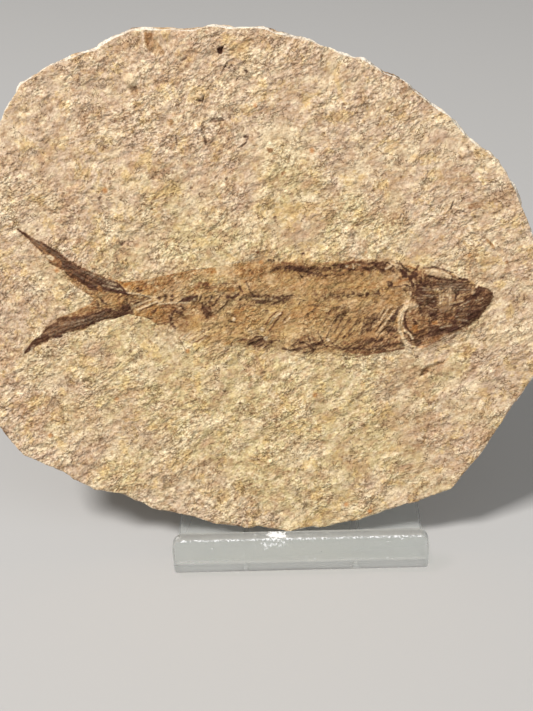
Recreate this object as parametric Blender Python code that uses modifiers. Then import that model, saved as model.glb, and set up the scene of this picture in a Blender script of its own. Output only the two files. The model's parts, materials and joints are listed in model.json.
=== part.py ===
"""Fossil fish in a slab of buff limestone, standing on a bent clear acrylic stand.

Three pieces: the slab, the fish that lies in it, and the stand.
Metres, +Z up. The fish faces -Y, towards whoever looks at it.
The origin is on the flat underside of the stand, below the stone's resting line.
"""
import math
from collections import namedtuple

import bmesh
import bpy
from mathutils import Matrix, Vector, noise

MM = 0.001

# ---- driving dimensions -------------------------------------------------
GAP = 0.3 * MM                 # clearance between pieces that touch
WELD = 0.001 * MM              # points this close count as level or as one

# The stand is one sheet, cut and then bent twice along hot lines.
SHEET = 3.2 * MM               # sheet thickness
STAND_WIDTH = 63.5 * MM
LIP_HEIGHT = 13.0 * MM
LIP_FRONT_Y = -12.0 * MM       # front face of the lip
BEND_INSIDE = 2.0 * MM         # inside radius of both bends
PRONG_LENGTH = 80.0 * MM       # from the lip's front face to the ends of the prongs
TONGUE_WIDTH = 27.0 * MM
TONGUE_RISE = 57.0 * MM        # straight length of the tongue above its bend
SLIT = 1.2 * MM                # saw cut on each side of the tongue
SLIT_START_Y = -2.8 * MM
LIP_CORNER = 3.0 * MM
TONGUE_CORNER = 5.0 * MM
PRONG_CORNER = 2.5 * MM
POLISHED_EDGE = 0.25 * MM

# The slab leans back on the tongue.
LEAN = 17.0                    # degrees back from upright
SLAB_THICKNESS = 9.0 * MM
SLAB_FOOT = Vector((0.0, 0.42 * MM, 5.0 * MM))   # lowest point of its front plane

# The fish lies in a shallow seat in the slab's face.
SEAT_DEPTH = 1.5 * MM
PLATE_UNDERSIDE = -1.2 * MM
FACE_SWELL = 0.22 * MM         # how far the bedding surface rises and falls
SWELL_LENGTH = 19.0 * MM       # length of one swell

# Corners of the slab's rim in its own plane, clockwise from the upper left:
# millimetres right of the stand's middle, and up from the foot.
RIM = [
    (-68.4, 107.5), (-65.1, 112.1), (-63.4, 115.2), (-54.3, 119.7), (-51.2, 121.0),
    (-45.2, 122.4), (-44.0, 123.3), (-35.8, 126.8), (-21.6, 126.2), (-16.7, 126.8),
    (-5.3, 126.0), (0.4, 124.2), (5.7, 122.8), (12.6, 119.6), (18.2, 118.0),
    (22.6, 114.9), (25.1, 114.2), (38.5, 104.0), (43.0, 98.9), (50.2, 93.3),
    (55.0, 85.8), (56.8, 80.0), (60.1, 72.2), (62.3, 65.2), (63.2, 58.5),
    (62.6, 50.7), (61.1, 43.4), (59.0, 38.3), (50.8, 25.8), (46.1, 18.5),
    (40.3, 11.9), (39.5, 10.3), (38.3, 9.5), (25.3, 5.5), (15.5, 2.2),
    (6.5, 0.5), (-2.6, -0.4), (-21.9, 2.0), (-25.7, 3.5), (-37.7, 6.6),
    (-45.4, 10.7), (-50.5, 11.8), (-52.8, 12.2), (-70.0, 22.4), (-73.1, 25.7),
    (-79.8, 35.7), (-82.7, 45.4), (-83.6, 57.0), (-82.7, 68.3), (-80.1, 80.5),
    (-75.8, 92.4),
]
RIM_STEP = 3.2 * MM            # longest straight stretch of chipped edge
RIM_WANDER = 0.45 * MM         # how far the points between two corners move in or out
RIM_GRAIN = 2.4 * MM
SLAB_MIDDLE = Vector((-9.5, 62.0)) * MM
BACK_HOLLOW = 0.5 * MM         # the back only dips inwards, clear of the tongue

# Rings of points round the edge, from the front face to the back: depth, least bite
# inwards, further bite where it is chipped, size of the chips, and wander in depth.
EdgeRing = namedtuple("EdgeRing", "depth bite chipped grain wander")
EDGE_RINGS = [
    EdgeRing(0.0, 0.25 * MM, 1.1 * MM, 5.0 * MM, 0.0),
    EdgeRing(1.3 * MM, 0.0, 0.0, 6.0 * MM, 0.5 * MM),
    EdgeRing(4.7 * MM, 0.15 * MM, 0.9 * MM, 7.0 * MM, 2.0 * MM),
    EdgeRing(7.3 * MM, 0.2 * MM, 0.9 * MM, 6.0 * MM, 0.7 * MM),
    EdgeRing(SLAB_THICKNESS, 1.6 * MM, 2.2 * MM, 8.0 * MM, 0.0),
]
FACE_STEP = 10.0 * MM          # spacing of the cuts across both faces of the slab

# Outline of the fish in the same plane, clockwise from the snout.
FISH_OUTLINE = [
    (48.9, 60.4), (48.5, 58.6), (45.7, 55.0), (39.6, 50.2), (33.4, 47.2),
    (28.5, 46.4), (21.0, 45.7), (12.4, 46.2), (3.7, 47.2), (-3.7, 48.4),
    (-9.9, 49.6), (-13.5, 50.6), (-19.8, 50.4), (-25.8, 51.8), (-31.6, 54.8),
    (-35.5, 58.2), (-40.8, 59.6), (-47.9, 57.6), (-54.3, 55.3), (-62.0, 52.2),
    (-66.4, 49.6), (-67.0, 50.4), (-64.5, 52.4), (-59.2, 56.6), (-54.1, 58.4),
    (-49.2, 60.6), (-47.9, 62.6), (-49.6, 64.4), (-53.4, 67.2), (-59.3, 73.0),
    (-66.2, 79.9), (-65.8, 80.8), (-60.2, 76.2), (-54.3, 72.4), (-47.3, 67.3),
    (-41.3, 65.3), (-35.1, 66.1), (-27.6, 67.5), (-19.0, 68.6), (-10.4, 69.8),
    (-5.6, 71.6), (1.0, 70.2), (6.6, 68.9), (16.0, 69.5), (26.1, 69.6),
    (30.9, 68.8), (37.0, 67.4), (43.1, 65.6), (47.9, 62.9),
]

# Lines that the bones follow.
SPINE = [(26.0, 63.0), (13.8, 61.9), (1.6, 61.6), (-10.7, 61.8), (-23.0, 62.0),
         (-32.0, 62.4), (-44.0, 63.0)]
BACK_LINE = [(26.0, 68.6), (6.0, 67.9), (-6.0, 69.4), (-20.0, 67.4), (-40.0, 64.6)]
BELLY_LINE = [(33.0, 48.4), (21.0, 46.9), (3.7, 48.4), (-10.0, 50.9), (-21.0, 52.2),
              (-34.0, 58.4), (-40.0, 60.4)]
PLATE_STEP = 3.2 * MM          # spacing of the cuts across the fish's upper face
VERTEBRA_PITCH = 2.0 * MM
VERTEBRA_RADIUS = 0.42 * MM
RIB_COUNT = 17
TAIL_ROOT = (-43.6, 63.0)

# How far the body stands above the bedding surface.
EDGE_LIFT = 0.02 * MM
BODY_LIFT = 0.12 * MM
SPINE_LIFT = 0.15 * MM
SPINE_SPREAD = 1.6 * MM
HEAD_LIFT = 0.3 * MM
HEAD_START = 22.0 * MM
HEAD_BLEND = 8.0 * MM
ROUGH_LIFT = 0.12 * MM
ROUGH_LENGTH = 3.1 * MM


def clear_scene():
    for thing in list(bpy.data.objects):
        bpy.data.objects.remove(thing, do_unlink=True)


def new_collection(name):
    group = bpy.data.collections.new(name)
    bpy.context.scene.collection.children.link(group)
    return group


def principled(name, colour, roughness, transmission=0.0):
    surface = bpy.data.materials.new(name)
    surface.use_nodes = True
    shader = surface.node_tree.nodes["Principled BSDF"]
    shader.inputs["Base Color"].default_value = (*colour, 1.0)
    shader.inputs["Roughness"].default_value = roughness
    shader.inputs["Metallic"].default_value = 0.0
    shader.inputs["Transmission Weight"].default_value = transmission
    shader.inputs["IOR"].default_value = 1.49
    return surface


def object_from(shape, name, group, surface=None):
    """Turn a bmesh into a named object of the group."""
    bmesh.ops.recalc_face_normals(shape, faces=shape.faces[:])
    mesh = bpy.data.meshes.new(name)
    shape.to_mesh(mesh)
    shape.free()
    thing = bpy.data.objects.new(name, mesh)
    if surface is not None:
        mesh.materials.append(surface)
    group.objects.link(thing)
    return thing


def cutter(thing):
    thing.hide_render = True
    thing.display_type = "WIRE"


def along(points, share):
    """The point at a share of the way along a line of millimetre points, in metres."""
    stretch = [Vector(p) * MM for p in points]
    lengths = [(b - a).length for a, b in zip(stretch, stretch[1:])]
    left = max(0.0, min(1.0, share)) * sum(lengths)
    for a, b, length in zip(stretch, stretch[1:], lengths):
        if left <= length:
            return a.lerp(b, left / length)
        left -= length
    return stretch[-1]


def height_on(points, x):
    """Where a line of millimetre points, which runs right to left, passes x."""
    stretch = [Vector(p) * MM for p in points]
    for a, b in zip(stretch, stretch[1:]):
        if b.x <= x <= a.x:
            return a.lerp(b, (a.x - x) / (a.x - b.x)).y
    nearest = stretch[0] if x > stretch[0].x else stretch[-1]
    return nearest.y


def swell(x, up):
    """Height of the low swells of the bedding surface above its mean plane."""
    spot = Vector((x / SWELL_LENGTH, up / SWELL_LENGTH, 3.7))
    return FACE_SWELL * (noise.noise(spot) * 1.4 + noise.noise(spot * 2.3) * 0.5)


def grown(points, distance):
    """A clockwise outline in metres, moved outwards by a distance."""
    corners = [Vector(p) * MM for p in points]
    moved = []
    for index, here in enumerate(corners):
        before = (here - corners[index - 1]).normalized()
        after = (corners[(index + 1) % len(corners)] - here).normalized()
        side_a = Vector((-before.y, before.x))
        side_b = Vector((-after.y, after.x))
        middle = (side_a + side_b).normalized()
        reach = min(distance / max(middle.dot(side_a), 0.35), 2.2 * abs(distance))
        moved.append(here + middle * reach)
    return moved


def on_level(vert, level):
    return abs(vert.co.z - level) < WELD


def outline_solid(corners, low, high, name, group):
    """A flat outline as a filled 2D curve, given its thickness and made a mesh."""
    curve = bpy.data.curves.new(name, "CURVE")
    curve.dimensions = "2D"
    curve.fill_mode = "BOTH"
    curve.extrude = (high - low) / 2
    spline = curve.splines.new("POLY")
    spline.points.add(len(corners) - 1)
    for point, corner in zip(spline.points, corners):
        point.co = (corner[0], corner[1], 0.0, 1.0)
    spline.use_cyclic_u = True
    flat = bpy.data.objects.new(name, curve)
    flat.location.z = (high + low) / 2
    group.objects.link(flat)
    bpy.context.view_layer.update()
    evaluated = flat.evaluated_get(bpy.context.evaluated_depsgraph_get())
    mesh = bpy.data.meshes.new_from_object(evaluated)
    mesh.transform(flat.matrix_world)
    bpy.data.objects.remove(flat, do_unlink=True)
    shape = bmesh.new()
    shape.from_mesh(mesh)
    bpy.data.meshes.remove(mesh)
    bmesh.ops.remove_doubles(shape, verts=shape.verts[:], dist=WELD)
    # each cap becomes one face again, so that later cuts across it stay clean
    for level in (low, high):
        cap = {f for f in shape.faces if all(on_level(v, level) for v in f.verts)}
        inner = [e for e in shape.edges if sum(f in cap for f in e.link_faces) == 2]
        bmesh.ops.dissolve_edges(shape, edges=inner, use_verts=False)
    return shape


def cut_level(shape, level):
    """A level cut through a flat solid, which leaves a ring of points in its wall."""
    everything = shape.verts[:] + shape.edges[:] + shape.faces[:]
    bmesh.ops.bisect_plane(shape, geom=everything, dist=WELD,
                           plane_co=(0.0, 0.0, level), plane_no=(0.0, 0.0, 1.0))


def cut_face(shape, level, step, first):
    """A grid of cuts across the one flat face at a level."""
    for axis in (0, 1):
        normal = Vector((1.0, 0.0, 0.0)) if axis == 0 else Vector((0.0, 1.0, 0.0))
        values = [v.co[axis] for v in shape.verts]
        place = min(values) + first
        while place < max(values):
            faces = [f for f in shape.faces if all(on_level(v, level) for v in f.verts)]
            edges = list({e for f in faces for e in f.edges})
            verts = list({v for f in faces for v in f.verts})
            bmesh.ops.bisect_plane(shape, geom=verts + edges + faces, dist=0.08 * step,
                                   plane_co=normal * place, plane_no=normal)
            place += step


def chip(x, up, seed, size):
    """A rough value from 0 to 1 along the edge, with flat stretches and deep bites."""
    spot = Vector((x / size, up / size, seed))
    rough = noise.noise(spot) * 0.9 + noise.noise(spot * 2.7) * 0.45
    return max(0.0, min(1.0, 0.5 + rough))


# ---- the slab -----------------------------------------------------------

def rim_corners():
    """The rim with its long stretches broken up, each new point a little in or out."""
    corners = [Vector(p) * MM for p in RIM]
    chipped = []
    for here, there in zip(corners, corners[1:] + corners[:1]):
        pieces = max(1, math.ceil((there - here).length / RIM_STEP))
        out = Vector((-(there - here).y, (there - here).x)).normalized()
        for piece in range(pieces):
            spot = here.lerp(there, piece / pieces)
            bite = 0.0 if piece == 0 else noise.noise(Vector((*(spot / RIM_GRAIN), 8.1)))
            chipped.append(spot + out * bite * RIM_WANDER)
    return chipped


def chip_edge(shape):
    """Bite into each ring of the wall, and let the middle rings wander in depth."""
    for vert in shape.verts:
        x, up, level = vert.co
        inward = (SLAB_MIDDLE - vert.co.xy).normalized()
        seed, ring = min(enumerate(EDGE_RINGS), key=lambda item: abs(item[1].depth + level))
        bite = ring.bite + ring.chipped * chip(x, up, 4.1 * seed, ring.grain)
        vert.co.xy += inward * bite
        vert.co.z += ring.wander * (chip(x, up, 4.1 * seed + 1.7, ring.grain) - 0.5)


def make_slab(group, cutters, surface):
    shape = outline_solid(rim_corners(), -SLAB_THICKNESS, 0.0, "slab", group)
    for ring in EDGE_RINGS[1:-1]:
        cut_level(shape, -ring.depth)
    chip_edge(shape)
    cut_face(shape, 0.0, FACE_STEP, 0.6 * FACE_STEP)
    cut_face(shape, -SLAB_THICKNESS, FACE_STEP, 0.4 * FACE_STEP)
    for vert in shape.verts:
        x, up, level = vert.co
        if on_level(vert, 0.0):
            vert.co.z = swell(x, up)
        elif on_level(vert, -SLAB_THICKNESS):
            vert.co.z += BACK_HOLLOW * chip(x, up, 21.0, 24.0 * MM)
    bmesh.ops.triangulate(shape, faces=shape.faces[:])
    slab = object_from(shape, "slab", group, surface)

    seat = outline_solid(grown(FISH_OUTLINE, GAP), -SEAT_DEPTH, 3.0 * MM, "seat_cutter", group)
    bmesh.ops.triangulate(seat, faces=seat.faces[:])
    seat = object_from(seat, "seat_cutter", cutters)
    cutter(seat)
    cut = slab.modifiers.new("seat", "BOOLEAN")
    cut.operation = "DIFFERENCE"
    cut.solver = "EXACT"
    cut.object = seat
    return [slab, seat]


# ---- the fish -----------------------------------------------------------

def relief(x, up):
    """How far the flattened body stands above the bedding surface."""
    head = max(0.0, min(1.0, (x - HEAD_START) / HEAD_BLEND))
    ridge = math.exp(-((up - height_on(SPINE, x)) / SPINE_SPREAD) ** 2)
    rough = noise.noise(Vector((x / ROUGH_LENGTH, up / ROUGH_LENGTH * 1.4, 5.5)))
    return BODY_LIFT + HEAD_LIFT * head + SPINE_LIFT * ridge + ROUGH_LIFT * rough


def make_plate(group, surface):
    """The pressed body: fins, flanks and head in one thin plate."""
    top = 0.1 * MM             # until the relief is put in
    shape = outline_solid(grown(FISH_OUTLINE, 0.0), PLATE_UNDERSIDE, top, "fish", group)
    edge = {v for v in shape.verts if on_level(v, top)}
    cut_face(shape, top, PLATE_STEP, 0.5 * PLATE_STEP)
    for vert in [v for v in shape.verts if on_level(v, top)]:
        x, up = vert.co.xy
        lift = EDGE_LIFT if vert in edge else relief(x, up)
        vert.co.z = swell(x, up) + lift
    bmesh.ops.triangulate(shape, faces=shape.faces[:])
    return object_from(shape, "fish", group, surface)


def add_bar(shape, start, end, width, tip_width, sides=4):
    """A tapered bar lying half sunk in the plate, from start to end (x, up in metres)."""
    start = Vector(start)
    end = Vector(end)
    middle = (start + end) / 2
    level = swell(*middle) + relief(*middle) - 0.05 * MM
    bar = bmesh.ops.create_cone(shape, cap_ends=True, segments=sides, radius1=width / 2,
                                radius2=tip_width / 2, depth=(end - start).length)
    direction = Vector((end.x - start.x, end.y - start.y, 0.0))
    turn = Vector((0.0, 0.0, 1.0)).rotation_difference(direction)
    for vert in bar["verts"]:
        vert.co.rotate(turn)
        vert.co += Vector((middle.x, middle.y, level))


def add_lump(shape, centre, length, width, height, angle=0.0, segments=6):
    """A low oval lump, such as a scute, a scale or the snout."""
    centre = Vector(centre)
    level = swell(*centre) + relief(*centre) - 0.06 * MM
    turn = Matrix.Rotation(math.radians(angle), 3, "Z")
    lump = bmesh.ops.create_uvsphere(shape, u_segments=segments, v_segments=4, radius=1.0)
    for vert in lump["verts"]:
        oval = Vector((vert.co.x * length / 2, vert.co.y * width / 2, vert.co.z * height))
        vert.co = turn @ oval + Vector((centre.x, centre.y, level))


def make_spine():
    """A row of short six-sided vertebrae."""
    shape = bmesh.new()
    length = sum((Vector(b) - Vector(a)).length for a, b in zip(SPINE, SPINE[1:])) * MM
    count = int(length / VERTEBRA_PITCH)
    for index in range(count):
        start = along(SPINE, (index + 0.12) / count)
        end = along(SPINE, (index + 0.84) / count)
        add_bar(shape, start, end, 2 * VERTEBRA_RADIUS, 1.7 * VERTEBRA_RADIUS, sides=6)
    return shape


def make_spine_rays():
    """Slanting spines above the vertebrae, and below them towards the tail."""
    shape = bmesh.new()
    pitch = 4.1 * MM
    for index in range(15):
        x = 22.0 * MM - index * pitch
        base = height_on(SPINE, x)
        rise = (height_on(BACK_LINE, x) - base) * 0.78
        add_bar(shape, (x - 0.8 * MM, base + 0.9 * MM), (x - 0.75 * rise, base + rise),
                0.42 * MM, 0.2 * MM)
        if x < -9.0 * MM:
            drop = (base - height_on(BELLY_LINE, x)) * 0.75
            add_bar(shape, (x - 0.8 * MM, base - 0.9 * MM), (x - 0.7 * drop, base - drop),
                    0.42 * MM, 0.2 * MM)
    return shape


def make_ribs():
    """Fine ribs that slant down and back from the spine to the belly."""
    shape = bmesh.new()
    for index in range(RIB_COUNT):
        x = 24.6 * MM - index * 1.85 * MM
        top = height_on(SPINE, x) - 1.3 * MM
        foot = x - 8.2 * MM
        bottom = height_on(BELLY_LINE, foot) + 2.1 * MM
        add_bar(shape, (x, top), (foot, bottom), 0.5 * MM, 0.22 * MM)
    return shape


def make_scutes():
    """Small keeled scutes along the belly and the back."""
    shape = bmesh.new()
    for index in range(17):
        x = 29.0 * MM - index * 2.15 * MM
        up = height_on(BELLY_LINE, x) + 0.35 * MM
        add_lump(shape, (x, up), 1.9 * MM, 0.9 * MM, 0.42 * MM, angle=18.0)
    for index in range(13):
        x = 24.5 * MM - index * 2.3 * MM
        up = height_on(BACK_LINE, x) + 0.1 * MM
        add_lump(shape, (x, up), 1.9 * MM, 0.8 * MM, 0.4 * MM, angle=-14.0)
    return shape


def make_fin_rays():
    """Rays of the anal fin, the small paired fins and the forked tail."""
    shape = bmesh.new()
    for index in range(9):
        x = (-14.0 - index * 1.9) * MM
        top = height_on(BELLY_LINE, x) + 0.5 * MM
        add_bar(shape, (x, top), (x - 1.7 * MM, top - 1.3 * MM), 0.4 * MM, 0.2 * MM)
    root = Vector(TAIL_ROOT) * MM
    lobes = (
        ((-45.2, 65.3), (-46.3, 63.9), (-63.4, 78.2), (-51.6, 66.7)),
        ((-45.0, 60.4), (-46.1, 62.2), (-63.8, 52.1), (-51.0, 59.7)),
    )
    for outer, inner, tip, notch in lobes:
        for index in range(5):
            share = index / 4
            start = (Vector(outer) * MM).lerp(Vector(inner) * MM, share)
            end = (Vector(tip) * MM).lerp(Vector(notch) * MM, share)
            add_bar(shape, start, end, 0.24 * MM, 0.3 * MM)
    for index in range(5):
        share = index / 4 - 0.5
        start = root + Vector((2.2 * MM, share * 2.0 * MM))
        end = root + Vector((-0.6 * MM, share * 4.0 * MM))
        add_bar(shape, start, end, 0.42 * MM, 0.3 * MM)
    return shape


def make_eye_and_snout():
    shape = bmesh.new()
    add_lump(shape, (37.2 * MM, 61.5 * MM), 3.0 * MM, 2.8 * MM, 0.45 * MM, segments=10)
    add_lump(shape, (46.6 * MM, 60.9 * MM), 2.7 * MM, 3.0 * MM, 0.6 * MM, segments=8)
    return shape


# Flat bones of the head and shoulder: outline, and how far each stands above its face.
HEAD_BONES = {
    "gill_cover": ([(29.8, 59.8), (33.2, 60.2), (34.6, 57.0), (34.2, 52.8), (32.4, 49.9),
                    (30.6, 49.5), (31.2, 53.4), (30.9, 56.6)], 0.75 * MM),
    "shoulder_arch": ([(25.6, 60.4), (27.4, 59.6), (28.9, 56.8), (29.4, 53.4), (28.6, 50.2),
                       (26.6, 47.9), (26.2, 48.9), (27.6, 51.0), (28.2, 53.8),
                       (27.5, 56.7), (25.9, 59.0)], 0.9 * MM),
    "cheek": ([(35.6, 59.0), (37.2, 58.4), (37.4, 55.6), (40.2, 53.6), (38.6, 52.6),
               (35.9, 53.6)], 0.7 * MM),
    "skull_roof": ([(26.6, 68.3), (32.0, 67.5), (38.0, 66.0), (43.0, 64.2), (41.6, 63.3),
                    (36.8, 64.7), (31.0, 65.9), (27.2, 66.4)], 0.8 * MM),
    "lower_jaw": ([(34.4, 48.9), (39.2, 51.3), (44.6, 55.4), (47.0, 58.2), (45.6, 58.4),
                   (42.6, 56.2), (38.4, 52.2), (34.6, 50.2)], 0.75 * MM),
}


def make_fish(group, helpers, surface):
    fish = make_plate(group, surface)
    bones = {
        "spine": make_spine(),
        "spine_rays": make_spine_rays(),
        "ribs": make_ribs(),
        "scutes": make_scutes(),
        "fin_rays": make_fin_rays(),
        "eye_and_snout": make_eye_and_snout(),
    }
    for name, (corners, top) in HEAD_BONES.items():
        shape = outline_solid([Vector(p) * MM for p in corners], -0.5 * MM, top, name, helpers)
        bmesh.ops.recalc_face_normals(shape, faces=shape.faces[:])
        crown = [f for f in shape.faces if f.normal.z > 0.9]
        bmesh.ops.inset_region(shape, faces=crown, thickness=0.28 * MM, depth=0.22 * MM)
        bmesh.ops.triangulate(shape, faces=shape.faces[:])
        bones[name] = shape
    pieces = [fish]
    for name, shape in bones.items():
        bone = object_from(shape, name, helpers)
        cutter(bone)
        join = fish.modifiers.new(name, "BOOLEAN")
        join.operation = "UNION"
        join.solver = "EXACT"
        join.object = bone
        pieces.append(bone)
    return pieces


# ---- the stand ----------------------------------------------------------

def bend_angle_of_tongue():
    return math.radians(90.0 - LEAN)


def tongue_bend_y():
    """Where the tongue starts to bend, so that its face lies a gap behind the slab's back."""
    lean = math.radians(LEAN)
    front = -SLAB_FOOT.y * math.cos(lean) + SLAB_FOOT.z * math.sin(lean)
    wanted = front - SLAB_THICKNESS - GAP + BEND_INSIDE
    return ((SHEET + BEND_INSIDE) * math.sin(lean) - wanted) / math.cos(lean)


def rounded(corners, radii, steps=5):
    """A clockwise outline whose corners are arcs of the given radii; 0 keeps a corner."""
    points = []
    for index, (corner, radius) in enumerate(zip(corners, radii)):
        here = Vector(corner)
        if radius == 0.0:
            points.append(here)
            continue
        back = (Vector(corners[index - 1]) - here).normalized()
        ahead = (Vector(corners[(index + 1) % len(corners)]) - here).normalized()
        half = back.angle(ahead) / 2
        start = here + back * (radius / math.tan(half))
        end = here + ahead * (radius / math.tan(half))
        centre = here + (back + ahead).normalized() * (radius / math.sin(half))
        sweep = (start - centre).angle_signed(end - centre)
        for step in range(steps + 1):
            arm = (start - centre).copy()
            arm.rotate(Matrix.Rotation(-sweep * step / steps, 2))
            points.append(centre + arm)
    return points


def make_stand(group, surface):
    """The blank is drawn flat, as it is cut, and then its lip and tongue are bent up."""
    middle_radius = BEND_INSIDE + SHEET / 2
    outside = BEND_INSIDE + SHEET
    lip_bend_y = LIP_FRONT_Y + outside
    lip_arc = middle_radius * math.pi / 2
    lip_top = lip_bend_y - lip_arc - (LIP_HEIGHT - outside)
    tongue_y = tongue_bend_y()
    tongue_arc = middle_radius * bend_angle_of_tongue()
    tongue_end = tongue_y + tongue_arc + TONGUE_RISE
    prong_end = LIP_FRONT_Y + PRONG_LENGTH
    half = STAND_WIDTH / 2
    tongue = TONGUE_WIDTH / 2
    inner = tongue + SLIT
    corners = [
        (-half, lip_top), (-half, prong_end), (-inner, prong_end), (-inner, SLIT_START_Y),
        (-tongue, SLIT_START_Y), (-tongue, tongue_end), (tongue, tongue_end),
        (tongue, SLIT_START_Y), (inner, SLIT_START_Y), (inner, prong_end),
        (half, prong_end), (half, lip_top),
    ]
    radii = [LIP_CORNER, PRONG_CORNER, PRONG_CORNER, 0.0, 0.0, TONGUE_CORNER, TONGUE_CORNER,
             0.0, 0.0, PRONG_CORNER, PRONG_CORNER, LIP_CORNER]
    shape = outline_solid(rounded(corners, radii), 0.0, SHEET, "stand", group)

    bend_steps = 8
    lines = [lip_bend_y - lip_arc * k / bend_steps for k in range(bend_steps + 1)]
    lines += [tongue_y + tongue_arc * k / bend_steps for k in range(bend_steps + 1)]
    for line in lines:
        everything = shape.verts[:] + shape.edges[:] + shape.faces[:]
        bmesh.ops.bisect_plane(shape, geom=everything, dist=0.01 * MM,
                               plane_co=(0.0, line, 0.0), plane_no=(0.0, 1.0, 0.0))
    for vert in shape.verts:
        x, flat, level = vert.co
        if flat < lip_bend_y:
            vert.co = bent(x, lip_bend_y, flat - lip_bend_y, level, math.pi / 2)
        elif flat > tongue_y and abs(x) < tongue + SLIT / 2:
            vert.co = bent(x, tongue_y, flat - tongue_y, level, bend_angle_of_tongue())
    stand = object_from(shape, "stand", group, surface)
    polish = stand.modifiers.new("polished_edge", "BEVEL")
    polish.width = POLISHED_EDGE
    polish.segments = 1
    polish.limit_method = "ANGLE"
    polish.angle_limit = math.radians(50.0)
    return stand


def bent(x, line_y, distance, level, full_angle):
    """A point of the flat sheet after the bend; distance is signed from the bend line."""
    side = 1.0 if distance > 0.0 else -1.0
    run = abs(distance)
    middle_radius = BEND_INSIDE + SHEET / 2
    angle = min(run / middle_radius, full_angle)
    arm = BEND_INSIDE + SHEET - level
    beyond = max(0.0, run - middle_radius * full_angle)
    out = math.sin(angle) * arm + beyond * math.cos(angle)
    high = SHEET + BEND_INSIDE - math.cos(angle) * arm + beyond * math.sin(angle)
    return Vector((x, line_y + side * out, high))


def main():
    clear_scene()
    group = new_collection("fossil_fish_slab")
    helpers = new_collection("cutters")
    limestone = principled("limestone", (0.62, 0.49, 0.31), 0.9)
    fossil_bone = principled("fossil_bone", (0.26, 0.14, 0.07), 0.75)
    acrylic = principled("clear_acrylic", (0.96, 0.98, 0.98), 0.05, transmission=1.0)

    leaning = bpy.data.objects.new("leaning_plane", None)
    leaning.location = SLAB_FOOT
    leaning.rotation_euler = (math.radians(90.0 - LEAN), 0.0, 0.0)
    group.objects.link(leaning)
    for piece in make_slab(group, helpers, limestone) + make_fish(group, helpers, fossil_bone):
        piece.parent = leaning
    make_stand(group, acrylic)


main()
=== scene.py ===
"""Finishes the fossil fish slab: the split stone, the fish pressed in it and its clear stand.

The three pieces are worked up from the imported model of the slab, the fish and the stand.
Lengths inside the drawing of the stone and the fish are millimetres in the slab's own plane:
x to the right of the stand's middle, up from the foot, and out towards the viewer.
"""
import json
import math

import bpy
import numpy as np
from bpy.props import FloatProperty, FloatVectorProperty, PointerProperty
from bpy.types import Operator, Panel, PropertyGroup
from mathutils import Matrix, Vector, noise

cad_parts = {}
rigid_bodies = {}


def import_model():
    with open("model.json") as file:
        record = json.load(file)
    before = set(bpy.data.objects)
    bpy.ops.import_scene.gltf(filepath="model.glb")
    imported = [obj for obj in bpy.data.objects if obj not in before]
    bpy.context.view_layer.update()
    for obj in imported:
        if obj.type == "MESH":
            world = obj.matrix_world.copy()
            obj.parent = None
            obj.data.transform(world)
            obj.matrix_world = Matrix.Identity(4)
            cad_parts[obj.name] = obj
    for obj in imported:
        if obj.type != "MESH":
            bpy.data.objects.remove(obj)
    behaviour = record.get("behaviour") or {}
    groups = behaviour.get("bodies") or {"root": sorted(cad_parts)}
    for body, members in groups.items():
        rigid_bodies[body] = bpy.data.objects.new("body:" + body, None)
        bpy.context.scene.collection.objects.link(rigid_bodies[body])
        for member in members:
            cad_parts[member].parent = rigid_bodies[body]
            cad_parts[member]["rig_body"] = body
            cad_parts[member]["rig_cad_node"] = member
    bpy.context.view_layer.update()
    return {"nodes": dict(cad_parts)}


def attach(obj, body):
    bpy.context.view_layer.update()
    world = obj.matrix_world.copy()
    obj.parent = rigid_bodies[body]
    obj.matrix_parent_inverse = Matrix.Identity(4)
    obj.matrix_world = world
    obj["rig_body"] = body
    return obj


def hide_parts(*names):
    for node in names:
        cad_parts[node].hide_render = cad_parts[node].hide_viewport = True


bl_info = {
    "name": "Fossil fish slab",
    "version": (1, 0, 0),
    "blender": (4, 5, 0),
    "location": "View3D > Sidebar > Fossil",
    "description": "Cuts the stone, lays the fish in it, bends the clear stand and sets the stage",
    "category": "Object",
}

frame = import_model()

MM = 0.001
BODY = "root"

# How the slab leans on its stand.
LEAN = 17.0                        # degrees back from upright
SLAB_FOOT = Vector((0.0, 0.42, 5.0)) * MM
BED = Matrix.Translation(SLAB_FOOT) @ Matrix.Rotation(math.radians(90.0 - LEAN), 4, "X")
SEAT_DEPTH = 1.5                   # of the fish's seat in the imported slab

# The split face of the stone, millimetres.
SWELL_HEIGHT = 0.22
SWELL_LENGTH = 19.0
STREAK_ANGLE = math.radians(27.0)  # the grain rises to the right
STREAK_STRETCH = 1.9
WARM_MIDDLE = (-9.0, 43.0, 0.0)    # the stone is more ochre round here

# The patch of stone that goes with the fish.
PATCH_LOW = (-69.6, 44.2)
PATCH_HIGH = (52.4, 82.6)
PATCH_MARGIN = 1.5                 # stone kept round the outline of the fish
PATCH_DIP = 0.45                   # the rim of the patch goes this far under the stone
PATCH_LIFT = 0.05                  # and the rest lies this far above it
POCKET_DEPTH = 1.45                # how far the stone is sunk under the patch
PATCH_UNDERSIDE = -1.2

# The lip of the clear stand, millimetres.
LIP_FRONT = -12.0
LIP_TOP = 13.0
EDGE_BEVEL = 0.22

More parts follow.
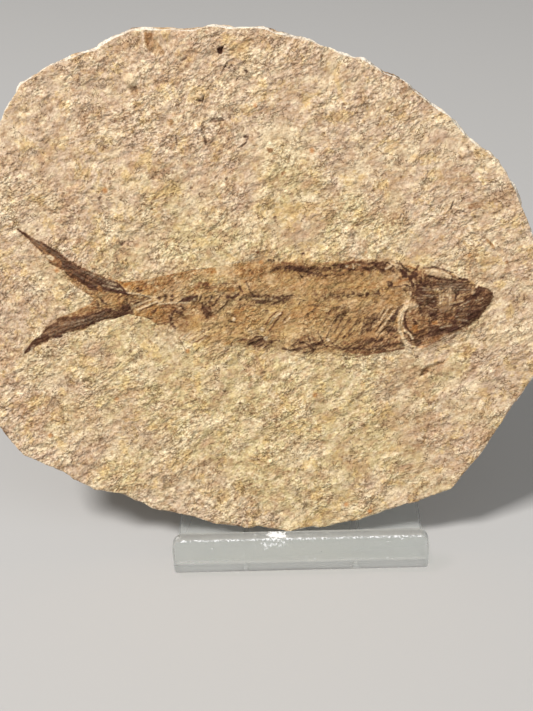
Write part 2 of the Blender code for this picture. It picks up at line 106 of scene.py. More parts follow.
# Outline of the fish, clockwise from the snout.
FISH_OUTLINE = [
    (48.9, 60.4), (48.5, 58.6), (45.7, 55.0), (39.6, 50.2), (33.4, 47.2),
    (28.5, 46.4), (21.0, 45.7), (12.4, 46.2), (3.7, 47.2), (-3.7, 48.4),
    (-9.9, 49.6), (-13.5, 50.6), (-19.8, 50.4), (-25.8, 51.8), (-31.6, 54.8),
    (-35.5, 58.2), (-40.8, 59.6), (-47.9, 57.6), (-54.3, 55.3), (-62.0, 52.2),
    (-66.4, 49.6), (-67.0, 50.4), (-64.5, 52.4), (-59.2, 56.6), (-54.1, 58.4),
    (-49.2, 60.6), (-47.9, 62.6), (-49.6, 64.4), (-53.4, 67.2), (-59.3, 73.0),
    (-66.2, 79.9), (-65.8, 80.8), (-60.2, 76.2), (-54.3, 72.4), (-47.3, 67.3),
    (-41.3, 65.3), (-35.1, 66.1), (-27.6, 67.5), (-19.0, 68.6), (-10.4, 69.8),
    (-5.6, 71.6), (1.0, 70.2), (6.6, 68.9), (16.0, 69.5), (26.1, 69.6),
    (30.9, 68.8), (37.0, 67.4), (43.1, 65.6), (47.9, 62.9),
]
SPINE = [(26.0, 63.0), (13.8, 61.9), (1.6, 61.6), (-10.7, 61.8), (-23.0, 62.0),
         (-32.0, 62.4), (-44.0, 63.0)]

# How bones and stains are drawn, millimetres.
STAINS = ("film", "rust", "brown", "dark", "cream")
WANDER = 0.14                      # how far a line strays from its route
WANDER_LENGTH = 1.3
JITTER = 0.09
WORN_LENGTH = 0.75
FRAY_LENGTH = 0.55
LINE_BLUR = 0.14
LINE_LIFT = 0.10                   # a line stands this far proud for each millimetre of width
SPOT_LIFT = 0.08
BONE_ROUGHNESS = 0.55
SLAB_FACES = 186000


def shade(red, green, blue):
    """An everyday colour, 0 to 255, as the linear values that a shader takes."""
    values = []
    for level in (red, green, blue):
        level /= 255.0
        low = level / 12.92
        high = ((level + 0.055) / 1.055) ** 2.4
        values.append(low if level <= 0.04045 else high)
    return tuple(values)


# ---- settings -----------------------------------------------------------

COLOUR = {"subtype": "COLOR", "min": 0.0, "max": 1.0}


class StoneSettings(PropertyGroup):
    mesh_size: FloatProperty(
        name="Mesh size", description="Spacing of the points over the worked stone",
        default=0.5 * MM, min=0.2 * MM, unit="LENGTH", precision=5)
    relief: FloatProperty(
        name="Relief", description="How strongly the split face and the back are roughened",
        default=1.0, min=0.0, max=3.0)
    edge_bite: FloatProperty(
        name="Edge bite", description="How deep the flaking of the broken edge goes",
        default=0.55 * MM, min=0.0, unit="LENGTH", precision=5)
    tan: FloatVectorProperty(
        name="Tan", description="Main colour of the stone",
        default=shade(203, 177, 149), **COLOUR)
    ochre: FloatVectorProperty(
        name="Ochre", description="Colour of the stone towards its middle",
        default=shade(202, 181, 135), **COLOUR)
    cream: FloatVectorProperty(
        name="Cream", description="Colour of its pale patches",
        default=shade(229, 207, 170), **COLOUR)
    umber: FloatVectorProperty(
        name="Umber", description="Colour of its darker, browner patches",
        default=shade(182, 146, 110), **COLOUR)
    yellow: FloatVectorProperty(
        name="Yellow", description="Colour of its ochre patches",
        default=shade(214, 180, 118), **COLOUR)
    rosy: FloatVectorProperty(
        name="Rosy", description="Colour of its faintly pink patches",
        default=shade(204, 168, 144), **COLOUR)
    rust: FloatVectorProperty(
        name="Rust", description="Colour of the small iron spots",
        default=shade(196, 132, 74), **COLOUR)


class FishSettings(PropertyGroup):
    mesh_size: FloatProperty(
        name="Mesh size", description="Spacing of the points over the fish",
        default=0.17 * MM, min=0.1 * MM, unit="LENGTH", precision=5)
    relief: FloatProperty(
        name="Relief", description="How proud the bones and the body stand",
        default=1.0, min=0.0, max=3.0)
    film: FloatVectorProperty(
        name="Film", description="Orange-brown film of skin and flesh",
        default=(0.65, 0.49, 0.33), **COLOUR)
    rust: FloatVectorProperty(
        name="Rust", description="Orange that the brightest scraps of the film stain the stone",
        default=(0.78, 0.55, 0.34), **COLOUR)
    brown: FloatVectorProperty(
        name="Brown", description="Red-brown of thin bone",
        default=shade(124, 82, 54), **COLOUR)
    dark: FloatVectorProperty(
        name="Dark", description="Brown-black of thick bone",
        default=shade(70, 42, 29), **COLOUR)
    cream: FloatVectorProperty(
        name="Cream", description="Pale bone and bared stone",
        default=shade(224, 198, 160), **COLOUR)


class StandSettings(PropertyGroup):
    tint: FloatVectorProperty(
        name="Tint", description="Colour of the clear sheet",
        default=(0.955, 0.975, 0.965), **COLOUR)
    gloss: FloatProperty(
        name="Face roughness", description="Roughness of the sheet's own faces",
        default=0.012, min=0.0, max=1.0)
    # also the white of the painted glints on the lip
    scrape_and_glint: FloatVectorProperty(
        name="Scrape", description="White of the chips and scuffs",
        default=(0.86, 0.87, 0.86), **COLOUR)
    edge: FloatProperty(
        name="Edge roughness", description="Roughness of the sawn and scraped edges",
        default=0.28, min=0.0, max=1.0)


class StageSettings(PropertyGroup):
    floor: FloatVectorProperty(
        name="Floor", description="Colour of the plain floor",
        default=(0.47, 0.465, 0.455), **COLOUR)
    key: FloatProperty(
        name="Key light", description="Power of the soft light at the upper left",
        default=46.0, min=0.0, unit="POWER")
    fill: FloatProperty(
        name="Fill", description="Strength of the even light from all round",
        default=0.27, min=0.0)


# ---- small helpers ------------------------------------------------------

def only(thing):
    """Make one object the only one selected, and the active one."""
    bpy.ops.object.select_all(action="DESELECT")
    thing.hide_set(False)
    thing.select_set(True)
    bpy.context.view_layer.objects.active = thing


def copy_of(node, name):
    """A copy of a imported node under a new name, with its loose triangles welded."""
    if node not in frame["nodes"]:
        raise RuntimeError(f"the packed model has no {node}")
    thing = frame["nodes"][node].copy()
    thing.data = thing.data.copy()
    thing.name = name
    thing.data.name = name
    thing.parent = None
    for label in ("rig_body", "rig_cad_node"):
        if label in thing:
            del thing[label]
    bpy.context.scene.collection.objects.link(thing)
    only(thing)
    bpy.ops.object.mode_set(mode="EDIT")
    bpy.ops.mesh.select_all(action="SELECT")
    bpy.ops.mesh.remove_doubles(threshold=0.001 * MM)
    bpy.ops.object.mode_set(mode="OBJECT")
    return thing


def read_points(mesh):
    """The points of a mesh as rows of x, y, z."""
    flat = np.empty(len(mesh.vertices) * 3, np.float32)
    mesh.vertices.foreach_get("co", flat)
    return flat.reshape(-1, 3).astype(np.float64)


def write_points(mesh, points):
    """Move the points of a mesh."""
    mesh.vertices.foreach_set("co", points.astype(np.float32).ravel())
    mesh.update()


def read_normals(mesh):
    """The way a mesh faces at each of its points."""
    flat = np.empty(len(mesh.vertices) * 3, np.float32)
    mesh.vertex_normals.foreach_get("vector", flat)
    return flat.reshape(-1, 3).astype(np.float64)


def write_mask(mesh, name, values):
    """Keep a value from 0 to 1 for each point of a mesh, for its material to read."""
    layer = mesh.attributes.new(name, "FLOAT", "POINT")
    layer.data.foreach_set("value", np.clip(values, 0.0, 1.0).astype(np.float32).ravel())


def select_faces(thing, wanted):
    """Go into edit mode with exactly the wanted faces selected."""
    only(thing)
    bpy.context.tool_settings.mesh_select_mode = (False, False, True)
    bpy.ops.object.mode_set(mode="EDIT")
    bpy.ops.mesh.select_all(action="DESELECT")
    bpy.ops.object.mode_set(mode="OBJECT")
    thing.data.polygons.foreach_set("select", np.asarray(wanted, bool))
    bpy.ops.object.mode_set(mode="EDIT")


def apply_modifier(thing, kind, **settings):
    """Add a modifier with these settings and apply it."""
    only(thing)
    step = thing.modifiers.new(kind.lower(), kind)
    for name, value in settings.items():
        setattr(step, name, value)
    bpy.ops.object.modifier_apply(modifier=step.name)


def smooth(value, low, high):
    """0 below low, 1 above high and an even ramp between."""
    share = np.clip((value - low) / (high - low), 0.0, 1.0)
    return share * share * (3.0 - 2.0 * share)


def rough(places, length, layer):
    """Noise from about -1 to 1 at each place, with lumps of a given length."""
    rows = np.asarray(places, float) / length
    if rows.shape[-1] == 2:
        rows = np.column_stack((rows, np.full(len(rows), layer)))
    else:
        rows = rows + layer
    return np.array([noise.noise(row) for row in rows.tolist()])


def streaked(places):
    """Places turned and squeezed so that noise read there runs along the grain."""
    x, up = places[:, 0], places[:, 1]
    run = x * math.cos(STREAK_ANGLE) + up * math.sin(STREAK_ANGLE)
    across = up * math.cos(STREAK_ANGLE) - x * math.sin(STREAK_ANGLE)
    return np.column_stack((run / STREAK_STRETCH, across))


def to_line(x, up, points):
    """Distance from each place to a broken line, and how far along it that is, 0 to 1."""
    stretches = list(zip(points, points[1:]))
    total = sum(math.dist(a, b) for a, b in stretches)
    nearest = np.full(np.shape(x), 1.0e6)
    share = np.zeros(np.shape(x))
    run = 0.0
    for (ax, ay), (bx, by) in stretches:
        dx, dy = bx - ax, by - ay
        length = math.hypot(dx, dy)
        part = np.clip(((x - ax) * dx + (up - ay) * dy) / length ** 2, 0.0, 1.0)
        gap = np.hypot(x - ax - part * dx, up - ay - part * dy)
        closer = gap < nearest
        nearest = np.where(closer, gap, nearest)
        share = np.where(closer, (run + part * length) / total, share)
        run += length
    return nearest, share


def to_outline(x, up, points):
    """How far each place lies outside a closed outline, and below 0 inside it."""
    ring = list(points) + [points[0]]
    gap, _ = to_line(x, up, ring)
    inside = np.zeros(np.shape(x), bool)
    for (ax, ay), (bx, by) in zip(ring, ring[1:]):
        if ay == by:
            continue
        crosses = (ay > up) != (by > up)
        inside ^= crosses & (x < ax + (up - ay) * (bx - ax) / (by - ay))
    return np.where(inside, -gap, gap)


# ---- the split face of the stone ----------------------------------------

def bed_height(places, relief):
    """Height of the split face over its mean plane at (x, up) places, in millimetres."""
    grain = streaked(places)
    swell = SWELL_HEIGHT * (1.4 * rough(places, SWELL_LENGTH, 3.7)
                            + 0.5 * rough(places, SWELL_LENGTH / 2.3, 8.51))
    lumps = 0.145 * rough(places, 5.2, 11.3)
    ledges = 0.085 * np.tanh(6.0 * rough(grain, 3.1, 17.9))
    flakes = 0.06 * np.tanh(7.0 * (rough(grain, 1.55, 23.1) - 0.12))
    crumbs = 0.07 * rough(grain, 1.1, 29.7)
    pits = -0.22 * smooth(rough(grain, 1.9, 37.3), 0.38, 0.62)
    return swell + relief * (lumps + ledges + flakes + crumbs + pits)


# ---- drawing on the split face ------------------------------------------

def pairs(numbers):
    """Points from a run of numbers: x, up, x, up and so on."""
    return list(zip(numbers[::2], numbers[1::2]))


class Drawing:
    """Stains and relief put on a set of points of the split face, shape by shape.

    A shape's points are given as a run of numbers in mm: x, up, x, up and so on.
    """

    def __init__(self, places):
        self.x = places[:, 0]
        self.up = places[:, 1]
        self.lift = np.zeros(len(places))
        self.touched = np.zeros(len(places), bool)
        self.stains = {name: np.zeros(len(places)) for name in STAINS}
        # bones wander a little, and are worn through in places
        self.bent_x = self.x + WANDER * rough(places, WANDER_LENGTH, 41.7)
        self.bent_up = self.up + WANDER * rough(places, WANDER_LENGTH, 53.3)
        self.bent_x += JITTER * rough(places, FRAY_LENGTH, 83.9)
        self.bent_up += JITTER * rough(places, FRAY_LENGTH, 97.3)
        self.worn = 0.5 + 0.5 * rough(streaked(places), WORN_LENGTH, 61.1)
        self.frayed = rough(places, FRAY_LENGTH, 71.9)

    def near(self, points, reach):
        """Numbers of the points that a shape can touch."""
        low = np.min(points, axis=0) - reach
        high = np.max(points, axis=0) + reach
        return np.nonzero((self.x > low[0]) & (self.x < high[0])
                          & (self.up > low[1]) & (self.up < high[1]))[0]

    def put(self, here, mask, lift, stains):
        """Add each stain through a mask; a stain below 0 wears that colour away."""
        self.touched[here[mask > 0.0]] = True
        self.lift[here] += lift * mask
        for name, strength in stains.items():
            layer = self.stains[name]
            if strength > 0.0:
                layer[here] += (1.0 - layer[here]) * strength * mask
            else:
                layer[here] *= 1.0 + strength * mask

    def line(self, width, *route, tip=None, lift=None, **stains):
        """A line of bone through the points, as wide at its end as tip says."""
        points = pairs(route)
        end = width if tip is None else tip
        here = self.near(points, width + 2.0 * WANDER)
        gap, share = to_line(self.bent_x[here], self.bent_up[here], points)
        half = 0.5 * (width + (end - width) * share) * (0.8 + 0.4 * self.worn[here])
        mask = 1.0 - smooth(gap, 0.45 * half, half + LINE_BLUR)
        if lift is None:
            lift = LINE_LIFT * min(width, 1.0)
        self.put(here, mask * (0.7 + 0.3 * self.worn[here]), lift, stains)

    def spot(self, width, x, up, lift=None, **stains):
        """A small round mark."""
        here = self.near([(x, up)], width + 2.0 * WANDER)
        gap = np.hypot(self.bent_x[here] - x, self.bent_up[here] - up)
        mask = 1.0 - smooth(gap, 0.2 * width, 0.5 * width + 2.0 * LINE_BLUR)
        self.put(here, mask, SPOT_LIFT * width if lift is None else lift, stains)

    def area(self, soft, *route, lift=0.0, **stains):
        """A closed patch with a frayed edge, soft over the given width."""
        points = pairs(route)
        here = self.near(points, soft + 4.0 * WANDER)
        gap = to_outline(self.bent_x[here], self.bent_up[here], points)
        gap += 0.45 * soft * self.frayed[here]
        mask = 1.0 - smooth(gap, -0.5 * soft, 0.5 * soft)
        self.put(here, mask * (0.62 + 0.38 * self.worn[here] * 1.6), lift, stains)

    def comb(self, count, width, *corners, **stains):
        """A row of lines between four points: the first and last start, then their ends."""
        first, last, first_tip, last_tip = (Vector(point) for point in pairs(corners))
        step = 1.0 / max(1, count - 1)
        for number in range(count):
            start = (number + 0.4 * math.sin(5.0 * number + count)) * step
            end = (number + 0.5 * math.sin(3.1 * number + 1.0)) * step
            start = first.lerp(last, start)
            end = first_tip.lerp(last_tip, end)
            start = start.lerp(end, 0.15 + 0.15 * math.sin(7.7 * number))
            end = end.lerp(start, 0.12 + 0.12 * math.sin(2.3 * number))
            self.line(width, *start, *end, **stains)

    def rays(self, count, width, edge, other, **stains):
        """Fin rays that run side by side between two edges of a fin."""
        for number in range(count):
            share = (number + 0.5 + 0.3 * math.sin(4.0 * number)) / count
            route = [Vector(a).lerp(Vector(b), share) for a, b in zip(pairs(edge), pairs(other))]
            self.line(width, *(value for point in route for value in point), **stains)


def draw_marks(bed):
    """Pits, cracks and spots in the bare stone, with painted shade along one crack and a painted shadow
    under one lump.
    """
    line, spot, area = bed.line, bed.spot, bed.area
    line(.7, -15.8, 104.9, -18.1, 104.8, -20.3, 103.9, -20.6, 102.5, lift=-.3, dark=.45)
    line(.75, -20.6, 102.1, -20, 100.6, -19.8, 99.2, lift=-.3, dark=.6)
    line(.35, -17.5, 104.4, -15.3, 104.7, lift=-.15, dark=.8)
    line(.4, -9.8, 100.8, -10.3, 99.2, -11.8, 98.3, lift=-.15, dark=.7)
    line(.45, -14.3, 117, -15.6, 115.3, lift=-.2, dark=.5)
    line(.5, -13.6, 116.8, -12.9, 117.2, lift=-.2, dark=.55)
    line(.35, 39.1, 84.1, 38.4, 82.2, lift=-.1, dark=.6)
    area(.5, 42.4, 82.8, 45.8, 83.9, 46.3, 82.5, 42.9, 81.6, brown=.4, film=.4)
    line(.3, 39.3, 81.7, 42.9, 81.1, 45.3, 82, lift=-.1, dark=.45)
    line(.4, -18.2, 47.2, -15.8, 49.7, -15.6, 50.4, lift=-.12, dark=.5)
    line(.6, -41.6, 75.7, -40.6, 76.4, lift=-.15, dark=.7)
    line(.3, -42.9, 74.5, -42.8, 71.5, lift=-.06, dark=.3)
    line(.4, -26.9, 101.1, -26.7, 99.4, lift=-.12, dark=.6)
    line(.5, -7.4, 100.2, -6.4, 100.9, lift=-.12, dark=.5)
    line(.35, -62.9, 69.4, -61.4, 69.9, lift=-.08, dark=.5)
    line(.3, -65, 68.2, -63.4, 69.2, lift=-.08, dark=.4)
    line(.45, 30.9, 42.2, 35.9, 40.8, 39.6, 39.9, lift=-.15, dark=.3)
    line(.4, -25, 105.5, -24.7, 106.1, lift=-.1, dark=.5)
    line(.35, -17.5, 97.3, -16.6, 97.5, lift=-.1, dark=.6)
    line(.3, -11.9, 113.8, -11.4, 114.7, lift=-.1, dark=.4)
    line(.3, -4.9, 91, -4.9, 90, lift=-.08, dark=.5)
    line(.6, 47.3, 74.2, 48.8, 72.3, lift=0, film=.9, brown=.2)
    area(.25, -5.3, 97.8, -3.7, 97.8, -4.2, 96.6, -5.1, 96.7, brown=.6, film=.6)
    spot(1, -1.7, 91.8, lift=0, brown=.5, film=.6)
    spot(1.5, -28.1, 104.6, lift=0, brown=.15, film=.9)
    spot(1, -31.7, 124.6, lift=0, brown=.4, film=.9)
    spot(.8, 52, 68.7, lift=0, brown=.3, film=.7)
    line(.5, 2.1, 72.2, 2.8, 72.4, lift=0, dark=.65)
    spot(.7, -8.4, 72.9, lift=0, brown=.9)
    spot(.7, -10.5, 100.8, lift=-.15, dark=.85)
    spot(.6, 44.1, 80.1, lift=-.1, dark=.6)
    spot(.6, -2.6, 94, lift=-.1, dark=.6)
    spot(.8, -9.6, 115.7, lift=-.2, dark=.6)
    spot(.7, -10.5, 116.4, lift=.12, cream=.5)
    spot(1.8, -20.8, 110.6, lift=.55, cream=.4)
    # painted shade along a crack, which is also sunk a little
    area(.5, 31, 40.6, 31.4, 41.9, 32.8, 43, 34.8, 43.8, 37.2, 44.4, 36.6, 43.6, 34.8, 42.9, 33.2, 42,
         32.2, 40.9, lift=-.45, film=.4, brown=.12, dark=.1)
    spot(.9, 31.6, 41.1, lift=-.2, dark=.4)
    area(.6, -32.9, 125.3, -31.5, 124.8, -29.7, 122.5, -28.4, 120.2, -30.6, 119.9, -32.2, 121.4, -33.2,
         123.1, film=.55, brown=.05)
    line(.7, -32.8, 125, -32.4, 122.8, film=.8, brown=.15)
    line(.35, -21.6, 122.1, -20, 122.4, lift=-.15, dark=.6)
    line(.4, -14.6, 116.9, -13.6, 118.1, -12.6, 118.5, lift=-.2, dark=.55)
    line(.3, -24.6, 118.6, -23.4, 119.2, lift=-.15, dark=.6)
    line(.4, -21.5, 109.5, -20.3, 109.2, -19.8, 110.4, lift=-.25, dark=.65)
    area(.3, -16.3, 120.8, -15.7, 121.4, -14.7, 121.6, -14.9, 120.8, -15.2, 119.9, -16, 119.8,
         lift=-.6, dark=.9, brown=.5)
    line(.4, -15, 121.3, -14, 122, lift=-.2, dark=.5)
    spot(3.2, -37, 114.6, lift=.7, cream=.55)
    # painted shadow under the pale lump above, which is also sunk a little
    area(.6, -37.6, 112.9, -35.6, 113.2, -35.2, 112.2, -36.6, 111.7, lift=-.3, dark=.35, film=.4)


# ---- the fish, from its film up to the bones that lie on top -------------

def draw_flesh(bed):
    spot, area = bed.spot, bed.area
    area(2.4, -46.2, 68.2, -39.8, 68.5, -35, 67.6, -30, 69.7, -20.6, 70.9, -13.7, 71.7, -5.9, 71.9,
         1.8, 71, 12.8, 71.1, 23.7, 70.8, 27.5, 67.5, 27, 60.1, 26.5, 49, 25, 46.7, 18.6, 45.9,
         12.4, 46.3, 1.2, 46.6, -5.7, 48.4, -13.6, 49.1, -22, 50.1, -26.9, 52, -31.3, 54.2, -36.7, 55.1,
         -42.1, 56.5, -46.9, 58.2, film=.2)
    area(1.2, -6, 70.2, 1.8, 70.5, 12.8, 70.6, 24.2, 70.3, 26.1, 67.5, 21.2, 66.2, 11.5, 65.7,
         4.1, 65.5, -3.2, 66.7, film=.28, brown=.14)
    area(1.45, 6.9, 59.1, 14.3, 60.2, 25.6, 58.9, 26.3, 48.7, 19.1, 48.9, 11.2, 48.9, 6.8, 51.1,
         film=.12, brown=.08)
    area(.95, -1.2, 47.7, -.2, 50.5, 2.3, 52.2, 6.3, 51.9, 9.7, 50.5, 12.7, 50.9, 13.6, 47.8,
         10.1, 46.9, 4.2, 46.8, .7, 46.9, brown=.16, dark=.04)
    area(.95, -15, 51.7, -10.5, 52.8, -5.6, 52.2, -2.7, 50.8, -3.7, 48.6, -9.2, 48.5, -13.6, 49.6,
         brown=.14, dark=.08)
    area(1.2, -32.9, 60.8, -27, 60.9, -25.1, 58.6, -26.8, 54.1, -30.8, 54.2, -33.1, 57.3, brown=.18,
         dark=.06)
    area(.95, -23, 61.5, -19.1, 61.4, -19.3, 56.9, -22.3, 56, -23.6, 58.5, brown=.16, dark=.06)
    area(.95, -27.8, 64.4, -15.5, 64.3, -7.7, 63.6, -.3, 63.9, .1, 59.8, -7.8, 59.1, -15.7, 60.3,
         -27.5, 60.6, brown=.1, dark=.04)
    area(.95, 3.1, 63.5, 12.6, 63.7, 22.2, 63.9, 22.6, 60.7, 12.6, 60, 3.5, 60.2, brown=.08)
    area(1.45, -44.3, 67.4, -39.9, 67.5, -36, 66.6, -32.7, 64.1, -25.3, 64.6, -20.8, 66.4, -14.8, 69.7,
         -7.4, 70.7, 1.8, 69, 12.7, 68.9, 23.2, 68.6, 27.1, 67, 26.6, 62.1, 26, 55.1, 26.5, 49.5,
         25, 47.8, 18.6, 46.9, 12.4, 47.3, 1.2, 47.7, -4.9, 49.4, -13.6, 50.1, -21.5, 51.1, -25.9, 53,
         -30.2, 55.2, -35.6, 56.1, -40, 57.2, -44.9, 58.1, -42.7, 62.1, film=.42)
    area(1.45, 9.1, 67.5, 26.1, 66.1, 26.3, 62.6, 25.1, 59.1, 21.2, 59.2, 14.3, 60.9, 8.9, 60.6,
         3.1, 61.8, 2.2, 64.8, film=.22)
    area(.75, 22.7, 65.7, 27.1, 65.5, 28.5, 60.5, 26, 58.6, 22.6, 59.2, film=.5)
    area(1.2, 8.9, 58.1, 25.6, 58.9, 25.5, 50, 19.1, 50.7, 11.2, 50.4, 7.3, 51.6, film=.3)
    area(1.45, -.2, 67.8, 6.6, 66.1, 6, 62.7, -.4, 62.6, film=.3)
    area(.95, -24.6, 69.5, -21.4, 70.4, -18.5, 68.9, -19.3, 67.1, -23, 67.2, film=.5)
    area(.75, -14.8, 70.2, -9.2, 70.5, -4.8, 70.2, -4.6, 67.9, -7.6, 66.8, -12.9, 67.9, film=.65,
         brown=.12)
    area(1.7, -14.2, 60.8, -7.8, 59.6, -8, 53, -14, 51.7, -17.9, 54.3, film=.25)
    area(1.45, -44.1, 67.9, -41.1, 68, -38.4, 67.2, -36, 66.6, -34.9, 65.4, -32.7, 63.6, -35.2, 63.6,
         -37.6, 64.2, -40.1, 64.5, -42.2, 65.8, film=.3, rust=.5, brown=.06)
    area(1.95, -33.9, 65.8, -32, 68, -29.5, 69.4, -26.8, 68.8, -24.6, 69.8, -22.9, 69, -25.2, 67.6,
         -28.2, 66.7, -30.7, 65.7, -32.7, 64.1, film=.2, rust=.34)
    area(1.2, -39.7, 59.2, -35.4, 60.6, -30.4, 60.7, -28.8, 59.7, -30.3, 57.7, -31.9, 56.2, -35.6, 56.3,
         -38.1, 56.7, -40.2, 57.7, film=.3, rust=.36)
    area(.75, -30, 59, -27.1, 58.4, -24.9, 57, -24, 55, -26.6, 53.8, -29.3, 54.6, film=.5)
    area(.6, -25.9, 63.6, -23.3, 65.3, -21.1, 66.2, -20.4, 64.9, -22.6, 63.8, -24.4, 62.8, film=.4,
         rust=.2, brown=.3)
    spot(.95, -21.3, 65.6, rust=.3, brown=.5)
    spot(1.05, -14.8, 64, rust=.7)
    spot(.75, -12.2, 68.7, rust=.5)
    area(.5, -21.9, 69.7, -19, 69.5, -18.8, 68.1, -21.5, 68.4, rust=.5)
    area(.5, -18.9, 64.6, -14, 64.5, -13.6, 63.2, -18.5, 63.6, film=.7)
    area(.75, -2.7, 58.9, .5, 58.8, .5, 56.8, -3, 57.2, film=.6)
    area(.95, -7.9, 55.5, -3, 56.9, -1, 55.4, -4.6, 52.4, -8.1, 52, film=.3)
    area(.5, -18, 51.5, -15.5, 50.9, -15.8, 49.7, -17.6, 50, film=.8)
    area(.75, 3.5, 60.7, 6.9, 60.1, 5.9, 57.2, 3.4, 57.2, film=.5)
    area(1.45, -13.8, 69.7, -7.5, 69, -6.1, 66, -11.5, 65.2, -14.9, 67.3, rust=.24)
    area(1.45, -4.1, 66.9, 1.7, 65.8, 2.6, 63.3, -2.8, 62.9, -6.2, 64.5, film=-.2, rust=.22)
    area(1.7, -14.2, 59.8, -9.3, 59.1, -8.9, 55.6, -13.4, 54.7, -15.8, 57.3, rust=.26)
    area(1.45, -25.5, 61.6, -20.6, 60.9, -19.8, 56.9, -24.2, 56, -27.1, 58.6, rust=.2)
    area(1.95, .6, 59.8, 8.9, 59.1, 9.8, 55.5, 3.4, 54.2, -.5, 56.8, film=-.15, rust=.2)
    area(1.45, 13.9, 65.4, 22.2, 64.7, 22.2, 61.7, 14.3, 62.4, rust=.18)
    area(.95, -20.3, 67.4, -16.4, 67.3, -16, 65.3, -19.9, 64.9, film=-.35)
    area(.95, -7.8, 59.6, -4.4, 58.5, -5.5, 56, -8.4, 56.6, film=-.3)


def draw_tail_upper(bed):
    line, area, comb, rays = bed.line, bed.area, bed.comb, bed.rays
    area(.5, -66.4, 80.3, -64.3, 79.1, -62.2, 77.5, -60.6, 77, -58.2, 75.4, -56.2, 73.9, -55.2, 72.9,
         -52.9, 71.4, -50.5, 70, -48.2, 68.7, -46, 67.7, -47.4, 65.2, -48.7, 64.5, -50.8, 65.8,
         -52.2, 67.1, -54.6, 68.4, -56, 70, -57.4, 70.7, -59, 72, -60.1, 73.5, -61.4, 75.3, -63, 76.8,
         -64.8, 78.6, film=.5, brown=.66, dark=.2)
    area(1.45, -62.3, 76.6, -59.7, 73, -56.4, 70.5, -53.2, 66.9, -50, 64.3, -47.9, 65, -51.2, 68.3,
         -56.2, 72.9, -60.4, 76.2, film=.4, brown=.2)
    area(.75, -55.3, 71.9, -51.1, 69.8, -47.2, 68, -48.4, 65, -50.8, 65.8, -53.6, 68.4, -55.4, 70.2,
         brown=.3, dark=.2)
    rays(11, .25, [-66.4, 80.3, -62.2, 77.5, -58.2, 75.3, -55.3, 72.7, -50.6, 69.8, -46.1, 67.4,
         -41.1, 64.3], [-66.4, 80.2, -63, 76.8, -60.1, 73.5, -56, 70, -52.2, 67.1, -48.2, 64.8,
         -41.1, 63.5], dark=.37)
    rays(4, .2, [-62.7, 77.7, -58.3, 75, -55.3, 72.2, -50.6, 69.3, -46.1, 66.9], [-63.5, 77.3,
         -60.1, 74, -56.4, 70.7, -52.2, 67.6, -48.2, 65.3], film=.5, dark=-.25, cream=.06)
    line(.4, -66.4, 80.3, -64.6, 78.8, -62.8, 77.1, -61, 75, tip=.5, rust=.4, brown=.7)
    area(.35, -62.3, 76.8, -60, 75, -57.7, 73.2, -55.8, 71.7, -56.4, 70.5, -58.3, 71.8, -60.5, 74.3,
         rust=.5, brown=-.3, dark=-.5)
    area(.35, -57.5, 72, -55.9, 71.2, -54, 69.4, -52.2, 67.9, -53.2, 67.1, -55.5, 69, rust=.3, dark=-.3)
    area(.75, -66.4, 80.3, -62.2, 77.5, -58.3, 75, -55.3, 72.7, -56.4, 70.7, -60.1, 73, -63.1, 76.1,
         -65.1, 78.6, rust=.25, brown=-.12, dark=-.3)
    line(.5, -62.2, 77.5, -60.4, 76.5, -58.3, 75, -55.7, 72.9, tip=.95, dark=.55)
    line(.5, -60, 75, -57.9, 74, -56.2, 72.7, dark=.44)
    area(.25, -56.3, 72.4, -54.6, 72.1, -53.4, 70.9, -54.7, 69.9, -56.4, 70.7, brown=.5, dark=.66)
    line(.3, -56.2, 70.2, -55.3, 68.9, -53.9, 67.9, dark=.75)
    comb(7, .25, -54.1, 71.1, -53.4, 68.1, -46.8, 67.5, -48.4, 64.8, dark=.44)
    line(.95, -53.6, 69.1, -51.9, 68.3, dark=.48)
    line(1.2, -51.5, 67.1, -49.8, 66, -48.4, 65, dark=.53)
    line(.75, -48.1, 66, -47.1, 66.5, dark=.7)
    line(.4, -51.1, 69.6, -48.2, 68.2, -46.3, 67.2, film=.6, cream=.2)
    area(.25, -47.8, 67.7, -45.8, 67.7, -44.1, 67.1, -42.7, 66.1, -41.5, 64.8, -40.6, 63.8, -42.1, 63.6,
         -44.5, 64.3, -46.2, 64.8, -47.4, 65.5, brown=.25, dark=.75)
    comb(4, .2, -46.8, 67.2, -46.9, 66, -43.2, 66.1, -41.6, 64.3, cream=.3)
    line(.5, -47.2, 65.5, -45.2, 64.7, -43.1, 64.1, -40.6, 63.5, tip=.35, dark=.88)
    line(.3, -42.5, 65.6, -40.9, 64, -39.4, 63, brown=.8)
    area(.15, -60.1, 73.9, -59.1, 73.8, -58, 73, -58.5, 72.5, -59.7, 72.9, film=-1, brown=-1, dark=-1,
         cream=1)
    area(.25, -60.4, 73.3, -57.7, 72.5, -56.4, 71.2, -57.6, 70.5, -59.3, 71.8, film=.8)
    line(.3, -61.4, 75.3, -60.3, 74, dark=.62)
    line(.3, -59.5, 72.3, -57.8, 71, dark=.62)


